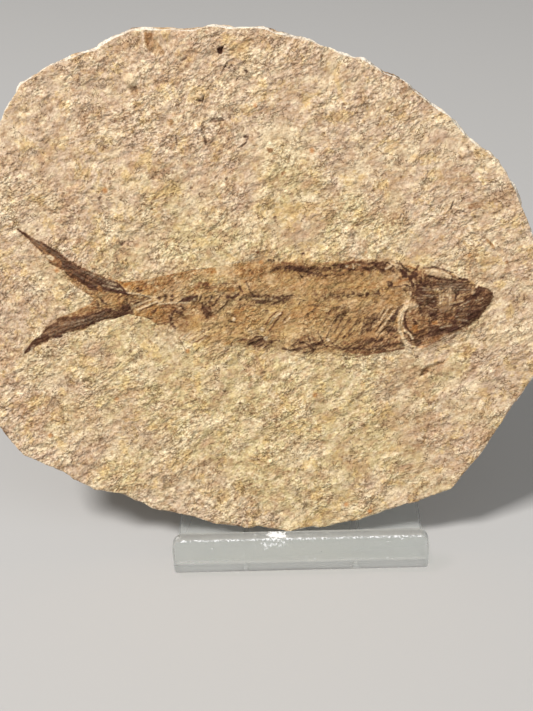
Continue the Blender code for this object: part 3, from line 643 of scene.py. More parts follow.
def draw_tail_fork(bed):
    line, spot, area, comb = bed.line, bed.spot, bed.area, bed.comb
    area(1.95, -56.8, 72, -50.4, 64.8, -47.5, 64.2, -41.2, 63, -40.8, 61, -46.8, 59.9, -56.3, 58.5,
         -52.6, 62.4, -54.8, 65.9, film=.5)
    area(.75, -51.4, 64.8, -47.4, 65.2, -41.1, 63.5, -40.3, 60.8, -44.8, 59.6, -49.8, 59.5, -53.1, 61.4,
         film=.4, brown=.16)
    area(.75, -48.7, 64.5, -41.4, 63.6, -40.8, 61, -43.3, 59.8, -47.8, 60.2, -50.1, 61.8, film=.45)
    line(.25, -51.2, 64.1, -49.7, 63.9, -48, 63.6, dark=.44)
    line(.3, -53, 62.9, -51.6, 62.1, -48.7, 61.8, rust=.3, brown=.8)
    comb(8, .25, -54.5, 62.4, -54.3, 58.4, -48.1, 62.7, -47.8, 59.2, rust=.3, brown=.2)
    line(.3, -50.4, 65.3, -48.7, 64.5, brown=.6)
    line(.75, -48.4, 62, -48.1, 60.2, dark=.7)
    line(.45, -47.8, 63.2, -46.9, 62, -46, 61.2, dark=.62)
    spot(.75, -46.9, 61.8, dark=.7)
    area(.3, -48.1, 66.2, -46.7, 65.5, -47, 64.2, -48.2, 64.8, rust=.75, brown=-.6, dark=-.7)
    area(.25, -45, 64.9, -42.9, 63.6, -43.6, 63.1, -44.8, 63.9, film=.9)
    line(.3, -47.8, 60.2, -46.3, 59.9, dark=.62)
    line(.5, -42.9, 62.8, -40.9, 63.5, brown=.8, dark=.26)
    line(.5, -41.4, 62.6, -40.8, 61.3, dark=.53)
    line(.3, -42.9, 62.1, -42.8, 60.1, brown=.5)
    line(.3, -55.1, 60.9, -51.7, 61.1, -49, 60, film=.8)
    area(.5, -55.1, 60.9, -49.7, 61.3, -48.8, 59.8, -54.8, 58.4, film=.45)
    line(.3, -57.3, 58.2, -53.4, 58.1, -49.6, 59.3, brown=.6)


def draw_tail_lower(bed):
    line, area, comb, rays = bed.line, bed.area, bed.comb, bed.rays
    area(.5, -64.3, 51.8, -63.2, 53.3, -62.3, 54.8, -61.3, 55.8, -59.7, 56.5, -57.9, 58, -56.1, 58.6,
         -54.9, 58.2, -51.6, 58.6, -49.1, 59.5, -46.5, 60.2, -44.8, 59.9, -43.4, 59.1, -42.3, 60.6,
         -41, 61, -40.1, 59.8, -39.7, 58.5, -41, 57.8, -43, 57.2, -45, 57.8, -47, 57.3, -49, 56.5,
         -51.1, 55.6, -53.1, 54.9, -55.6, 54.4, -57.7, 53.9, -60.2, 53.1, -61.5, 52.3, -63.3, 51.5,
         film=.5, brown=.6, dark=.29)
    area(1.45, -62.1, 54.8, -57.8, 58.8, -54.7, 59.7, -49.8, 59.8, -46.8, 59.9, -50.9, 57.8,
         -56.5, 55.9, -60.6, 54, film=.4, brown=.26)
    line(.45, -67.4, 49.3, -65.9, 51.1, -63.8, 52.6, -61.7, 53.8, tip=.75, brown=.8, dark=.36)
    rays(11, .25, [-67.3, 49.6, -65, 52.4, -62.1, 54.8, -57.9, 57.7, -51.6, 58.3, -46.6, 59.9,
         -40.8, 60.8], [-66.5, 49.6, -63.6, 51.5, -60, 53.2, -55.6, 54.6, -49, 56.7, -45, 57.9,
         -39.9, 58.7], dark=.41)
    rays(4, .2, [-62.1, 54.3, -57.9, 57, -51.7, 57.8, -46.6, 59.4], [-60.2, 53.5, -55.6, 55.1, -49, 57,
         -44.9, 58.1], film=.5, dark=-.3, cream=.08)
    line(1.35, -62.9, 53.6, -60.7, 53.8, -58.1, 54.6, -55.6, 55.3, -52.5, 56.3, tip=.75, dark=.5)
    line(1.2, -61.3, 55.6, -59, 56.4, dark=.45)
    line(.95, -58.6, 57.8, -55.6, 58.2, dark=.36)
    line(.5, -58, 56, -55, 56.6, -52, 57.1, film=.5, dark=-.4, cream=.08)
    area(.75, -67.3, 49.6, -64.8, 52.3, -61.8, 54.8, -57.9, 57.5, -55.9, 57.9, -58.1, 54.2, -62, 52.5,
         -65.2, 50.3, brown=-.08, dark=-.2)
    line(.8, -59.5, 53.3, -57.8, 53.6, dark=.9)
    line(.6, -62.2, 53.6, -64.8, 52.3, -66.7, 50.1, tip=.35, brown=.8, dark=.41)
    line(.55, -61.2, 53, -63.6, 52.1, -65.2, 50.3, tip=.3, brown=.8, dark=.32)
    line(.25, -62.8, 52.5, -64.6, 51.6, -65.7, 50.6, brown=.6)
    comb(8, .25, -61.8, 54.8, -60.7, 52.7, -46.8, 59.7, -47, 57.4, dark=.36)
    line(.45, -53, 56.6, -49.9, 57.8, -46.6, 59.2, dark=.68)
    line(.4, -52.3, 55.6, -49.5, 56.9, -46.2, 58, dark=.68)
    line(.5, -50, 57, -47.9, 57.7, dark=.54)
    line(1.1, -44.7, 57.4, -42.7, 58.3, -40.9, 60, dark=.63)
    line(.75, -47.1, 59, -45.1, 59.8, dark=.54)
    line(.7, -42.1, 60.6, -40.6, 60.8, -39.7, 58.7, dark=.65)
    line(.45, -47, 57.6, -44.7, 57.9, -43, 57.2, dark=.72)


def draw_root_of_tail(bed):
    line, spot, area = bed.line, bed.spot, bed.area
    area(1.2, -34.9, 68.8, -26.1, 69.1, -25.2, 66.6, -28.8, 64.7, -33.2, 63.8, -35.6, 65.9, film=.45,
         brown=.08)
    line(.3, -40.9, 64, -38.7, 63.7, -35.5, 62.9, -33.8, 62.6, cream=.55)
    line(.3, -39.2, 63.4, -37.4, 63.3, -35.3, 62.6, dark=.6)
    line(.4, -38.3, 65, -39.1, 64.4, -36.9, 64.2, brown=.7, dark=.3)
    spot(.75, -38.1, 64.7, dark=.6)
    line(.5, -36.3, 66.4, -36.1, 64.9, brown=.5)
    line(.55, -30.6, 66, -29.5, 68.7, brown=.35)
    line(.55, -28.6, 68.2, -26.6, 68.6, -23.9, 69.3, brown=.3)
    spot(.75, -29.7, 69.4, brown=.5)
    line(.3, -33.6, 61.6, -36.1, 60.6, -38.7, 59.5, tip=.25, cream=.8)
    line(.25, -33.4, 61.2, -35.9, 60.1, -38.4, 59.1, dark=.75)
    line(.3, -35, 62.1, -37.6, 61.1, -39.8, 60.3, cream=.5)
    line(.35, -35.3, 62.4, -37.3, 61.6, -38.8, 61.2, dark=.65)
    line(.25, -36.5, 62.7, -38.3, 62, -40.3, 61.5, dark=.5)
    line(.25, -36.1, 61.3, -37.9, 60.6, -39.6, 59.7, dark=.6)
    area(.5, -40.6, 63.5, -35.3, 62.9, -33.8, 61.8, -38.9, 59.2, -40.3, 60.5, -41.2, 62.3, film=.2,
         brown=.22, dark=.12)
    line(.6, -41.7, 61.8, -40.8, 61, dark=.6)
    line(.65, -34, 59.5, -35, 58.9, dark=.6)
    line(.5, -36.1, 57.5, -35.1, 57.1, dark=.6)
    line(.6, -37.4, 56.4, -36.1, 57.1, brown=.6)
    spot(.95, -39, 58, film=.7, brown=.2)
    line(.55, -33.7, 55.8, -31.4, 56.1, -30.1, 56.9, brown=.4, dark=.2)
    line(1.05, -27.8, 58.6, -29.5, 59.1, -30.5, 57.7, -30.4, 56.2, -29.5, 54.7, tip=.65, brown=.3,
         dark=.62)
    line(.55, -27.7, 60.2, -26.8, 59.4, dark=.5)
    spot(.75, -26.5, 55.8, brown=.5)
    line(.25, -32.9, 60.9, -30.4, 61.1, -26, 61, cream=.6)
    line(.6, -31, 60.2, -27.5, 60.4, brown=.3)


def draw_spine(bed):
    line, spot, area, comb = bed.line, bed.spot, bed.area, bed.comb
    spot(.9, -33.1, 62.4, dark=.6)
    spot(.75, -31.4, 62.8, dark=.75)
    spot(.75, -31.6, 62, dark=.6)
    spot(.8, -29.8, 62.8, dark=.85)
    spot(.75, -30.1, 61.8, dark=.7)
    line(.35, -33.4, 61.1, -32.1, 61.5, dark=.5)
    area(.35, -28.2, 61.4, -26.9, 62.4, -25.4, 62.8, -23.4, 62.9, -23.4, 61.5, -25.5, 61.2, dark=.85)
    spot(.3, -24.3, 61.8, dark=-.6, cream=.4)
    line(.5, -22.6, 62.8, -23.1, 61.5, dark=.65)
    spot(.65, -21.5, 62.2, dark=.5)
    spot(.85, -20.1, 62.3, dark=.85)
    line(.5, -20, 62.2, -20.8, 60.8, dark=.7)
    line(.55, -18, 62.6, -19.1, 60.9, dark=.8)
    spot(1, -16, 62.2, dark=.9)
    spot(.65, -16.4, 61.3, dark=.6)
    line(.65, -15.3, 62, -13.6, 62.7, dark=.7)
    line(.5, -14, 62.5, -14.9, 61.3, dark=.7)
    line(.45, -12.1, 62.6, -13.2, 61.4, dark=.7)
    line(.35, -10.9, 62.4, -11.7, 61.4, dark=.5)
    comb(13, .2, -32.7, 63.6, -10.1, 63.4, -33.6, 65.1, -10.6, 65.1, brown=.3)
    comb(14, .2, -31.4, 61.5, -9.3, 60.6, -33.2, 59.6, -11.5, 58.4, brown=.34, dark=.12)
    area(.5, -11.9, 62.8, -7.7, 62.7, -5.3, 62.3, -1.8, 62.5, -.1, 62.4, -.9, 61.4, -2.4, 59.8,
         -5.3, 59.8, -9.3, 60.4, -11.7, 61.4, dark=.34)
    area(.3, -9.5, 61.2, -6.8, 61.1, -6.8, 60.1, -9.3, 60.3, dark=.7)
    line(.35, -10.9, 62.4, -8.7, 62, -6.7, 62.3, -4.8, 61.7, dark=.5)
    line(.4, -6.3, 60.5, -4.3, 61.7, -2.3, 62.2, dark=.6)
    line(.4, -4.8, 60.1, -2.8, 61.2, -1.4, 61.9, dark=.65)
    line(.3, -6.8, 61.8, -4.8, 60.5, dark=.5)
    line(.3, -4.3, 62.1, -2.4, 60.7, dark=.55)
    spot(.8, -3.6, 61.2, dark=.6)
    spot(.55, -5.5, 61.3, dark=-.5, cream=.3)
    line(.45, -1.6, 61.9, -.1, 62.2, dark=.7)
    line(.25, -10.2, 61.5, -7.7, 61.5, dark=-.3, cream=.3)
    spot(1.05, 5.6, 62.2, dark=.42)
    spot(1.1, 7.6, 61.7, dark=.45)
    spot(.95, 9.4, 62, dark=.5)
    spot(.75, 10.9, 61.5, dark=.4)
    spot(1.1, 12, 62.1, dark=.62)
    spot(.8, 13.3, 61.6, dark=.5)
    spot(1, 14.5, 62.2, dark=.58)
    spot(1.05, 16.2, 61.7, dark=.58)
    spot(1.2, 18, 61.9, dark=.62)
    line(.45, 19, 61.2, 20.2, 61.9, dark=.5)
    area(.3, 20.2, 62, 20.9, 63, 21.4, 61.2, dark=.7)
    area(.75, 4.1, 63, 12.6, 63.1, 20.2, 63, 20.7, 61, 12.6, 60.5, 4.5, 60.7, brown=.12, dark=.1)
    comb(5, .2, 3.6, 64, 7, 61.4, 11.4, 65, 14.3, 62.4, dark=.2)


def draw_scutes_of_back(bed):
    line, spot, area, comb = bed.line, bed.spot, bed.area, bed.comb
    area(1.2, -5.5, 70.1, -.6, 70.3, 9.1, 69.9, 14, 70.1, 23.2, 70, 23.7, 68.1, 22.2, 66.9, 19.3, 67.5,
         13.9, 68.1, 12.7, 67.2, 9, 66.6, 5.4, 66.3, 1.7, 67.5, -1.9, 67.9, -5.6, 68.2, film=.3,
         brown=.2, dark=.08)
    comb(20, .25, -5, 69.9, 22.7, 69.6, -3.4, 68.2, 24.4, 67.6, dark=.3)
    line(.95, -5.3, 68.5, -3.8, 69, -1.9, 69.1, -.2, 68.7, 2, 68.4, tip=1.2, brown=.4, dark=.55)
    line(.35, -4.6, 69.4, -2.6, 69.9, -.4, 70, brown=.6)
    line(.3, -2.6, 70.4, -.2, 70, 2, 69.2, 4.4, 68.8, brown=.8)
    area(.6, -2.1, 70.1, 1.8, 69.2, 6.1, 68.4, 6.1, 66.4, 3.7, 67, 1.3, 68, -2.1, 68.4, brown=.2,
         dark=.38)
    line(.65, 1.8, 68.6, 3.9, 67.7, 6.6, 66.9, dark=.65)
    line(.4, -.2, 69.3, 1.8, 68.7, 4.7, 68.4, dark=.7)
    line(1.05, 5.7, 68.6, 7.6, 68.3, 9.1, 68.5, brown=.3, dark=.55)
    line(.85, 10.3, 68.6, 11.8, 68.8, 13, 68.7, brown=.3, dark=.5)
    line(.6, 9.8, 69.2, 12, 69.3, dark=.7)
    line(.45, 9.5, 67.3, 11, 66.7, 12.5, 66.9, dark=.6)
    line(.4, 6.1, 67.9, 7.3, 66.7, 8.3, 66.6, dark=.6)
    line(.5, 9.8, 68, 12, 67.7, dark=.5)
    line(.4, 11, 69.2, 14, 69.7, 16.4, 69.9, brown=.9)
    line(.35, 12.2, 68.4, 13.9, 68.1, 15.6, 68.6, dark=.75)
    area(.75, 12.7, 70.1, 18.3, 70.1, 19, 67.5, 13, 67.7, film=.5, brown=.38, dark=.1)
    spot(.45, 13.2, 68.9, cream=.7)
    line(.25, 14.6, 69.4, 14.8, 68.4, cream=.8)
    line(.25, 15.4, 69.5, 16.4, 69.1, cream=.5)
    line(.5, 16.9, 69.5, 18.3, 69.4, 19.5, 69.6, dark=.6)
    line(.75, 17.3, 68.5, 18.6, 67.9, 20, 69.1, dark=.8)
    line(.5, 19.3, 69.7, 21, 68.4, brown=.7)
    area(.5, 19.5, 69.8, 22.7, 69.8, 23.2, 68.1, 21.7, 66.9, 20.3, 68, brown=.45, dark=.5)
    line(.4, 20.7, 68.4, 22.2, 67.3, dark=.5)
    line(.3, 22.9, 69.5, 24.4, 68.7, dark=.8)
    line(.3, 23.9, 69.2, 25.6, 68.8, cream=.6)
    line(.5, 22.7, 68.1, 23.9, 68.7, cream=.5)
    spot(.65, 16.8, 66.8, dark=.5)
    line(.35, 1.5, 67.5, 2.2, 66.5, dark=.7)
    spot(.95, -8.6, 71, dark=.4)
    line(.95, -5.7, 70.9, -4.8, 70.8, dark=.62)
    spot(.8, -3.3, 71.1, dark=.6)
    spot(.75, -3.7, 72.2, brown=.3)
    spot(.6, -12.1, 68.9, dark=.4)
    line(.55, -10.7, 68.9, -9.5, 67.6, dark=.4)
    line(.3, -14.7, 71.5, -13.5, 72.5, -11.3, 72.7, dark=.42)
    spot(.7, -9.3, 73.3, brown=1)
    line(.65, -23, 65.8, -21.8, 65.5, -20.9, 65, brown=.8, dark=.2)
    line(.4, -21.1, 64.3, -18.9, 64.8, -15.9, 65.6, brown=.5, dark=.2)
    line(.65, -19.6, 65.4, -16.2, 65.8, dark=.3)
    line(.5, -14.8, 64.3, -15.3, 63.8, brown=.4)
    line(.6, -26.3, 64.6, -23.3, 65.3, brown=.35)


def draw_ray_bones(bed):
    line, spot, area = bed.line, bed.spot, bed.area
    line(.35, -15.9, 61.4, -17.7, 59.6, -18.9, 58.4, tip=.25, dark=.62)
    line(.35, -18.8, 61.5, -20.1, 59.9, dark=.55)
    line(.25, -18.7, 58.6, -20.5, 56.9, -21.8, 56.2, brown=.5)
    line(.35, -13, 60.2, -13.5, 58.9, dark=.55)
    line(.3, -10.5, 60.7, -11.8, 58.9, dark=.5)
    line(.35, -13.3, 64.7, -12.5, 63.2, brown=.6, dark=.5)
    line(.4, -11.5, 65.7, -10.6, 63.7, -9.9, 62.1, dark=.7)
    spot(.45, -9.2, 64.9, brown=.7)
    spot(1.2, -6.7, 58.4, dark=.35)
    area(.5, -22.8, 60.8, -21.6, 60.8, -20.4, 59.4, -20.2, 58.2, -21.2, 56.9, -22.1, 57.7, -22.7, 59.3,
         brown=.35, dark=.62)
    line(.75, -16.7, 58.1, -14.3, 57.2, dark=.4)
    line(.5, -16.1, 56.2, -14.6, 55.7, dark=.7)
    spot(.7, -14.9, 56.5, dark=-1, cream=1)
    area(.25, -17.4, 55.1, -15.6, 55, -15.4, 54.1, -16.9, 53.9, dark=.4)
    spot(.7, -21.1, 54.2, dark=.6)
    spot(.8, -8, 53.7, cream=.8)
    spot(.8, -7.1, 51.5, cream=1)
    line(.75, -11.2, 53.4, -9, 52.8, dark=.3)
    line(.3, -4.4, 58.1, -5.9, 56.8, -7.2, 55, brown=.8, dark=.2)
    line(.25, -3.4, 57.7, -5, 56.5, -6.2, 55, cream=.75)
    line(.4, -2.9, 57.8, -4.5, 55.7, -6.3, 53.2, brown=.7, dark=.45)
    line(.35, -1.2, 57.4, -2.8, 55.7, dark=.62)
    line(.2, -1, 56.6, -2.3, 55.4, cream=.7)
    line(.25, 1.3, 59.8, 1.6, 60.7, 4, 60.7, dark=.6)
    line(.35, 6.4, 59.8, 4.7, 58.2, 3.2, 57.2, dark=.62)
    line(.55, 3.7, 59.4, 5.2, 59.4, brown=.6, dark=.2)
    line(.25, -10.1, 51, -11.4, 50.1, dark=.5)
    area(.4, -11.6, 50.8, -9.5, 52.2, -7.1, 52, -5.4, 50.7, -7.2, 49.1, -10.1, 49.6, dark=.4)
    line(.4, -11.6, 50.7, -9.6, 51.8, -8.1, 52.1, dark=.8)
    line(.45, -11.1, 50.1, -9.1, 51, -7.3, 51.6, dark=.85)
    line(.35, -9.9, 49.6, -8.1, 50.6, dark=.7)
    line(.4, -9.1, 49.5, -6.9, 50.4, -3.9, 50.9, dark=.75)
    line(.3, -7.9, 48.9, -5.4, 50.3, dark=.7)
    line(.3, -14.8, 50.8, -13, 51.3, -10.8, 51.3, brown=.6, dark=.2)
    line(.35, -16.5, 52, -15.5, 53.1, dark=.55)


def draw_ribs(bed):
    line, spot, area, comb = bed.line, bed.spot, bed.area, bed.comb
    line(.45, 9.1, 58.3, 7.1, 54.7, tip=.35, dark=.6)
    line(.55, 11.1, 56.8, 9.3, 54.3, 7.8, 51.3, tip=.3, dark=.65)
    line(.35, 11.9, 56.1, 9.8, 52.5, tip=.25, dark=.55)
    line(.5, 13.8, 55.9, 12, 53.5, 10.5, 51.2, tip=.3, dark=.5)
    line(.7, 15.5, 54.5, 13.5, 52.8, 11.7, 50.8, tip=.35, dark=.5)
    line(.3, 16.4, 55.1, 14.7, 53, 12.7, 50.7, dark=.5)
    area(.6, 9.6, 58.6, 12.1, 59.7, 13.8, 58.4, 13.3, 56.5, 11.3, 55.2, 9.8, 56.3, brown=.12, dark=.26)
    comb(17, .2, 8.9, 58.3, 25.6, 58.1, 5.3, 53.1, 20.6, 51.7, dark=.3)
    comb(4, .2, 9.9, 58.3, 11, 55.8, 12.8, 59.5, 13.5, 57.7, dark=.35)
    area(.5, 17.9, 56.6, 20.6, 56.6, 20.1, 54.5, 17.9, 52.3, 15.7, 51.2, 16.4, 53.8, brown=.2, dark=.46)
    spot(.65, 18.1, 53, dark=.5)
    line(.35, 22.1, 57.7, 20.6, 55.2, 18.6, 52.5, dark=.5)
    line(.35, 23.8, 57.9, 21.9, 54.9, 19.9, 52.2, dark=.55)
    line(.25, 23.1, 57.9, 21.4, 55.5, cream=.6)
    line(.25, 24.6, 57.6, 22.3, 54.4, 20.1, 51.7, cream=.45)
    line(.55, 25.3, 57.4, 23.3, 54.4, 20.3, 50.9, tip=.3, dark=.72)
    line(.35, 25.8, 58.3, 23.8, 55.6, dark=.6)
    spot(.65, 23.8, 56, dark=.75)
    line(.8, 25.3, 56.9, 24.3, 54.9, dark=.75)
    area(.5, 22.1, 53.7, 25.5, 53.6, 25.5, 52.1, 23.1, 51.9, brown=.4, dark=.66)
    line(.75, 23.3, 51.9, 25, 50.8, brown=.5, dark=.25)
    line(.4, 26, 49.8, 23.5, 49.3, 21.3, 48.4, brown=.5)
    spot(.75, 20.2, 60, dark=.45)
    comb(4, .25, 15.8, 59.6, 20.2, 59.5, 14.3, 57.4, 17.7, 56.6, brown=.2)


def draw_scutes_of_belly(bed):
    line, spot, area, comb = bed.line, bed.spot, bed.area, bed.comb
    line(.55, -3, 48.7, -.7, 48.2, 1.5, 48.8, dark=.9)
    line(.4, 1.1, 50.9, -.7, 49.4, dark=.62)
    area(.95, -.5, 49.2, 1.1, 51.2, 3.3, 52.1, 5.8, 50.6, 7, 49, 4.7, 47.6, .7, 47.4, brown=.16,
         dark=.1)
    line(.3, 2, 50.3, 0, 49.5, dark=.6)
    line(.5, 1.3, 50.2, 3, 49.7, 4.5, 48.3, dark=.75)
    line(.35, .2, 48.1, 2.8, 48.9, 5, 49.9, dark=.7)
    line(.4, 2, 47.5, 4, 47.8, 5.5, 48.8, dark=.65)
    line(.3, 3.4, 46.7, 4.5, 47.6, dark=.6)
    line(.35, 3.3, 51.7, 4.2, 49.1, dark=.6)
    line(.3, 4.1, 52.2, 5, 50.4, brown=.6)
    line(.45, 4.5, 49.2, 6.7, 49.9, dark=.7)
    line(.35, 5.8, 52.6, 6.7, 50.6, 7.7, 48.8, dark=.7)
    line(.4, 8.5, 50.5, 9.9, 49.2, 11.4, 48.5, dark=.6)
    line(.3, 10, 50.5, 12.4, 48.4, dark=.5)
    spot(.65, 8.2, 50.7, cream=.8)
    line(.35, 5.7, 49.6, 8.7, 48.9, 12.4, 48.1, brown=.5, dark=.3)
    line(.5, 10.7, 48, 14.1, 48.4, 17.8, 48, dark=.62)
    area(.85, 12.4, 49.6, 17.4, 51.2, 26, 50.5, 26.5, 48, 21.1, 47.1, 15.6, 46.5, 12.4, 47.3, film=.2,
         brown=.3, dark=.12)
    line(.55, 14.1, 48.6, 16.6, 49.9, 19.4, 50.7, dark=.45)
    line(.35, 14.6, 48, 17.4, 49.2, 19.8, 49.9, dark=.5)
    line(.75, 17.6, 49.7, 19.6, 50.3, dark=.75)
    line(.75, 20.1, 49.8, 21.6, 50.3, dark=.85)
    line(.45, 17.8, 48, 20.1, 48, 22, 47.8, dark=.62)
    line(.35, 20.1, 48, 23, 49, 26.5, 49.2, dark=.5)
    line(.45, 15.1, 46, 18.1, 46.7, 22, 47.2, 27, 48, brown=.75, dark=.15)
    line(.5, 12.6, 47.6, 16.6, 47.1, 21.1, 47.6, brown=.4)
    line(.55, 11.9, 46.6, 12.9, 45.4, dark=.45)
    comb(11, .3, 13.2, 49.1, 25.5, 49.8, 10.7, 47.7, 22, 47.6, dark=.42)
    comb(14, .2, 6.8, 50.8, 26, 51.5, 2.7, 48.4, 22, 47.6, dark=.3)


def draw_anal_fin(bed):
    line, comb = bed.line, bed.comb
    comb(7, .2, -25.8, 54, -20.4, 53.6, -30.9, 51.4, -25.5, 50.2, brown=.42)
    comb(7, .2, -25.1, 54, -19.9, 53.6, -30.2, 51.4, -25, 50.2, cream=.45)
    line(.3, -21.7, 52.4, -24, 51.3, -26.5, 50.5, brown=.7, dark=.2)
    line(.5, -34.6, 53.3, -33.3, 53, dark=.25)


def draw_nape(bed):
    line, spot, area, comb = bed.line, bed.spot, bed.area, bed.comb
    line(.5, 26, 69.6, 26.8, 68.3, 27.7, 67.5, dark=.9)
    line(.4, 30.6, 68.6, 29.9, 67.5, 28.8, 66.2, brown=.8, dark=.45)
    line(.5, 27.9, 68.5, 29, 68.1, 30, 67.7, rust=.9)
    area(.3, 26.1, 67.8, 27.8, 67.5, 27.8, 66, 26.6, 66, brown=.4, dark=.72)
    line(.75, 28.3, 65.8, 29.2, 66, 30, 66.3, dark=.95)
    line(.65, 28.8, 65.2, 29.1, 64, 29.4, 63, brown=.3, dark=.75)
    line(.5, 25.8, 64.7, 27.1, 65, 28.3, 65.7, rust=.8, brown=.2)
    line(.3, 23.4, 68.1, 25.1, 66.6, 26.3, 65.3, dark=.5)
    line(.25, 24.4, 68.6, 26.1, 67.3, dark=.5)
    comb(5, .2, 23.2, 69.1, 25.6, 69.3, 24.6, 66.8, 27.1, 67.5, dark=.4)
    area(.25, 22.7, 64.9, 24.4, 64.7, 24.4, 63.4, 23.1, 63.4, dark=.75)
    line(.35, 25.8, 63.6, 27, 63.9, 28.5, 63.6, dark=.85)
    line(.3, 21.7, 62.8, 23.9, 63.3, 25.8, 63.7, dark=.65)
    area(.5, 29.2, 67.3, 31.9, 67.5, 32.6, 65.9, 31.9, 64.1, 30.2, 64.2, 29, 65.5, film=.4, brown=.24)
    line(.35, 29.9, 64.6, 31.2, 64.4, dark=.7)
    line(.3, 30.2, 65.7, 30.9, 65, brown=.6)
    line(.3, 30.7, 66.9, 31.7, 65.9, brown=.5)
    spot(.7, 31.9, 63.7, dark=.8)
    line(.45, 27, 62.9, 27.5, 62.2, dark=.7)
    line(.55, 28, 61.8, 29.5, 60.7, 30.9, 59.3, dark=.45)


def draw_skull(bed):
    line, spot, area, comb = bed.line, bed.spot, bed.area, bed.comb
    line(.45, 26.1, 67.8, 27.1, 67, 27.3, 66, dark=.86)
    line(.45, 27.5, 68, 28.3, 67.2, 29.2, 66.9, dark=.81)
    line(.35, 26.6, 65.8, 28, 66, 29, 65.5, dark=.76)
    line(.45, 28.3, 65, 29.2, 64.2, 30.5, 63.9, dark=.7)
    spot(.5, 29.7, 65.9, dark=.65)
    spot(.5, 30.9, 64.7, dark=.65)
    line(.45, 30.2, 63.5, 31.9, 63.9, 33.4, 63.6, dark=.65)
    area(.95, 25.6, 69.5, 28.5, 68.9, 31.4, 68.4, 33.1, 66.8, 32.4, 63.9, 29.5, 62, 26.1, 61.6,
         25.1, 65.1, film=.4, brown=.12)
    comb(12, .25, 26.6, 69, 27, 62.1, 30.9, 67.4, 31.9, 62.9, brown=.3, dark=.28)
    area(.45, 32.2, 67.8, 34.8, 67.9, 37.3, 67, 40.2, 65.6, 42.6, 64.7, 44.6, 63.4, 46.8, 62.7,
         48, 61.7, 48.8, 60.4, 48.5, 59.2, 47.6, 58.1, 46.7, 56.7, 45.4, 55, 43.2, 53.4, 40.8, 52.1,
         38.3, 51.1, 35.9, 50.4, 33.4, 49.6, 30.5, 48.4, 28.7, 48.7, 27, 51, 26.5, 53.8, 27, 57.1,
         28.5, 59.8, 28.8, 62.5, 30, 64, 31.9, 63.9, film=.4, brown=.5, dark=.24, lift=.12)
    area(.6, 30, 64.2, 32.9, 65.1, 37.3, 64.2, 42.1, 63.8, 43.6, 62.3, 41.2, 61.4, 39.5, 62.9,
         36.1, 63.3, 34.6, 62.1, 34.6, 59.1, 35.8, 57.6, 38.8, 57.5, 38.8, 55.7, 34.9, 55.3, 31.9, 56.9,
         30.5, 59.2, 29.7, 61.5, brown=.26, dark=.2)
    line(.25, 31.8, 67.9, 34.6, 68, 37.3, 67.2, 39.4, 66.4, 40.9, 65.4, 42.4, 64.8, dark=.81)
    area(.25, 32.2, 67.6, 34.3, 67.7, 36.8, 67, 38.7, 65.9, 38.5, 65.1, 35.8, 65.6, 33.4, 66.2,
         32.2, 66.7, brown=-.5, dark=-.5, cream=.3, lift=.2)
    area(.2, 33.4, 67.6, 35.3, 67.2, 35.1, 66.8, 33.6, 67, film=-.5, brown=-1, dark=-1, cream=.8,
         lift=.2)
    line(.35, 36, 66.9, 37.5, 66.2, 38.5, 65.4, cream=.4)
    spot(.45, 37.5, 65.6, cream=.5)
    spot(.5, 32.9, 67, brown=.5)
    line(.3, 34.1, 66.5, 35.8, 66.1, 37.3, 65.2, brown=.5)
    spot(.4, 36.2, 66.5, brown=.5)
    comb(6, .25, 29.2, 66.9, 32.2, 67.2, 30, 64.7, 32.4, 65.1, brown=.5, dark=.27)
    spot(.45, 30, 66.7, dark=.65)
    spot(.4, 31.3, 65.4, dark=.65)
    spot(.5, 32, 64.5, dark=.54)
    line(.25, 39.3, 66.3, 40.4, 65.6, 41.4, 65.3, 42.5, 65.2, dark=-.6, cream=.75)
    line(.4, 40.2, 65.5, 41.2, 64.8, 42.4, 64.7, dark=.92)
    line(.55, 33, 65.9, 34.1, 65.6, 35.3, 65.2, 37, 64.8, 39.5, 64.6, dark=.95, lift=-.1)
    comb(9, .25, 33.4, 64.6, 33.4, 62.6, 43.1, 64.1, 44.1, 62.1, dark=.59)
    comb(6, .2, 33.6, 64.1, 33.9, 62.6, 42.6, 63.7, 43.9, 62.1, film=.4, cream=.12)
    line(.45, 30.2, 62.6, 32.2, 62.7, 33.7, 63, dark=.95, lift=-.08)
    line(.45, 31.3, 61.6, 32, 61.7, dark=.76)
    area(.5, 29.5, 62.2, 31.9, 62.4, 33.4, 60.9, 32.4, 59.7, 30.7, 60.2, brown=.24, dark=.32)
    comb(7, .3, 29.7, 63, 29.5, 59.5, 34.4, 63.1, 34.4, 58.3, dark=.54)
    comb(5, .2, 30.2, 63.2, 30.2, 60, 34.8, 62.8, 34.9, 59.8, film=.4, dark=-.3, cream=.2)
    area(.5, 32.7, 61.1, 34.9, 60.8, 35.1, 58.3, 33.4, 58.1, 31.9, 59.2, dark=.54)


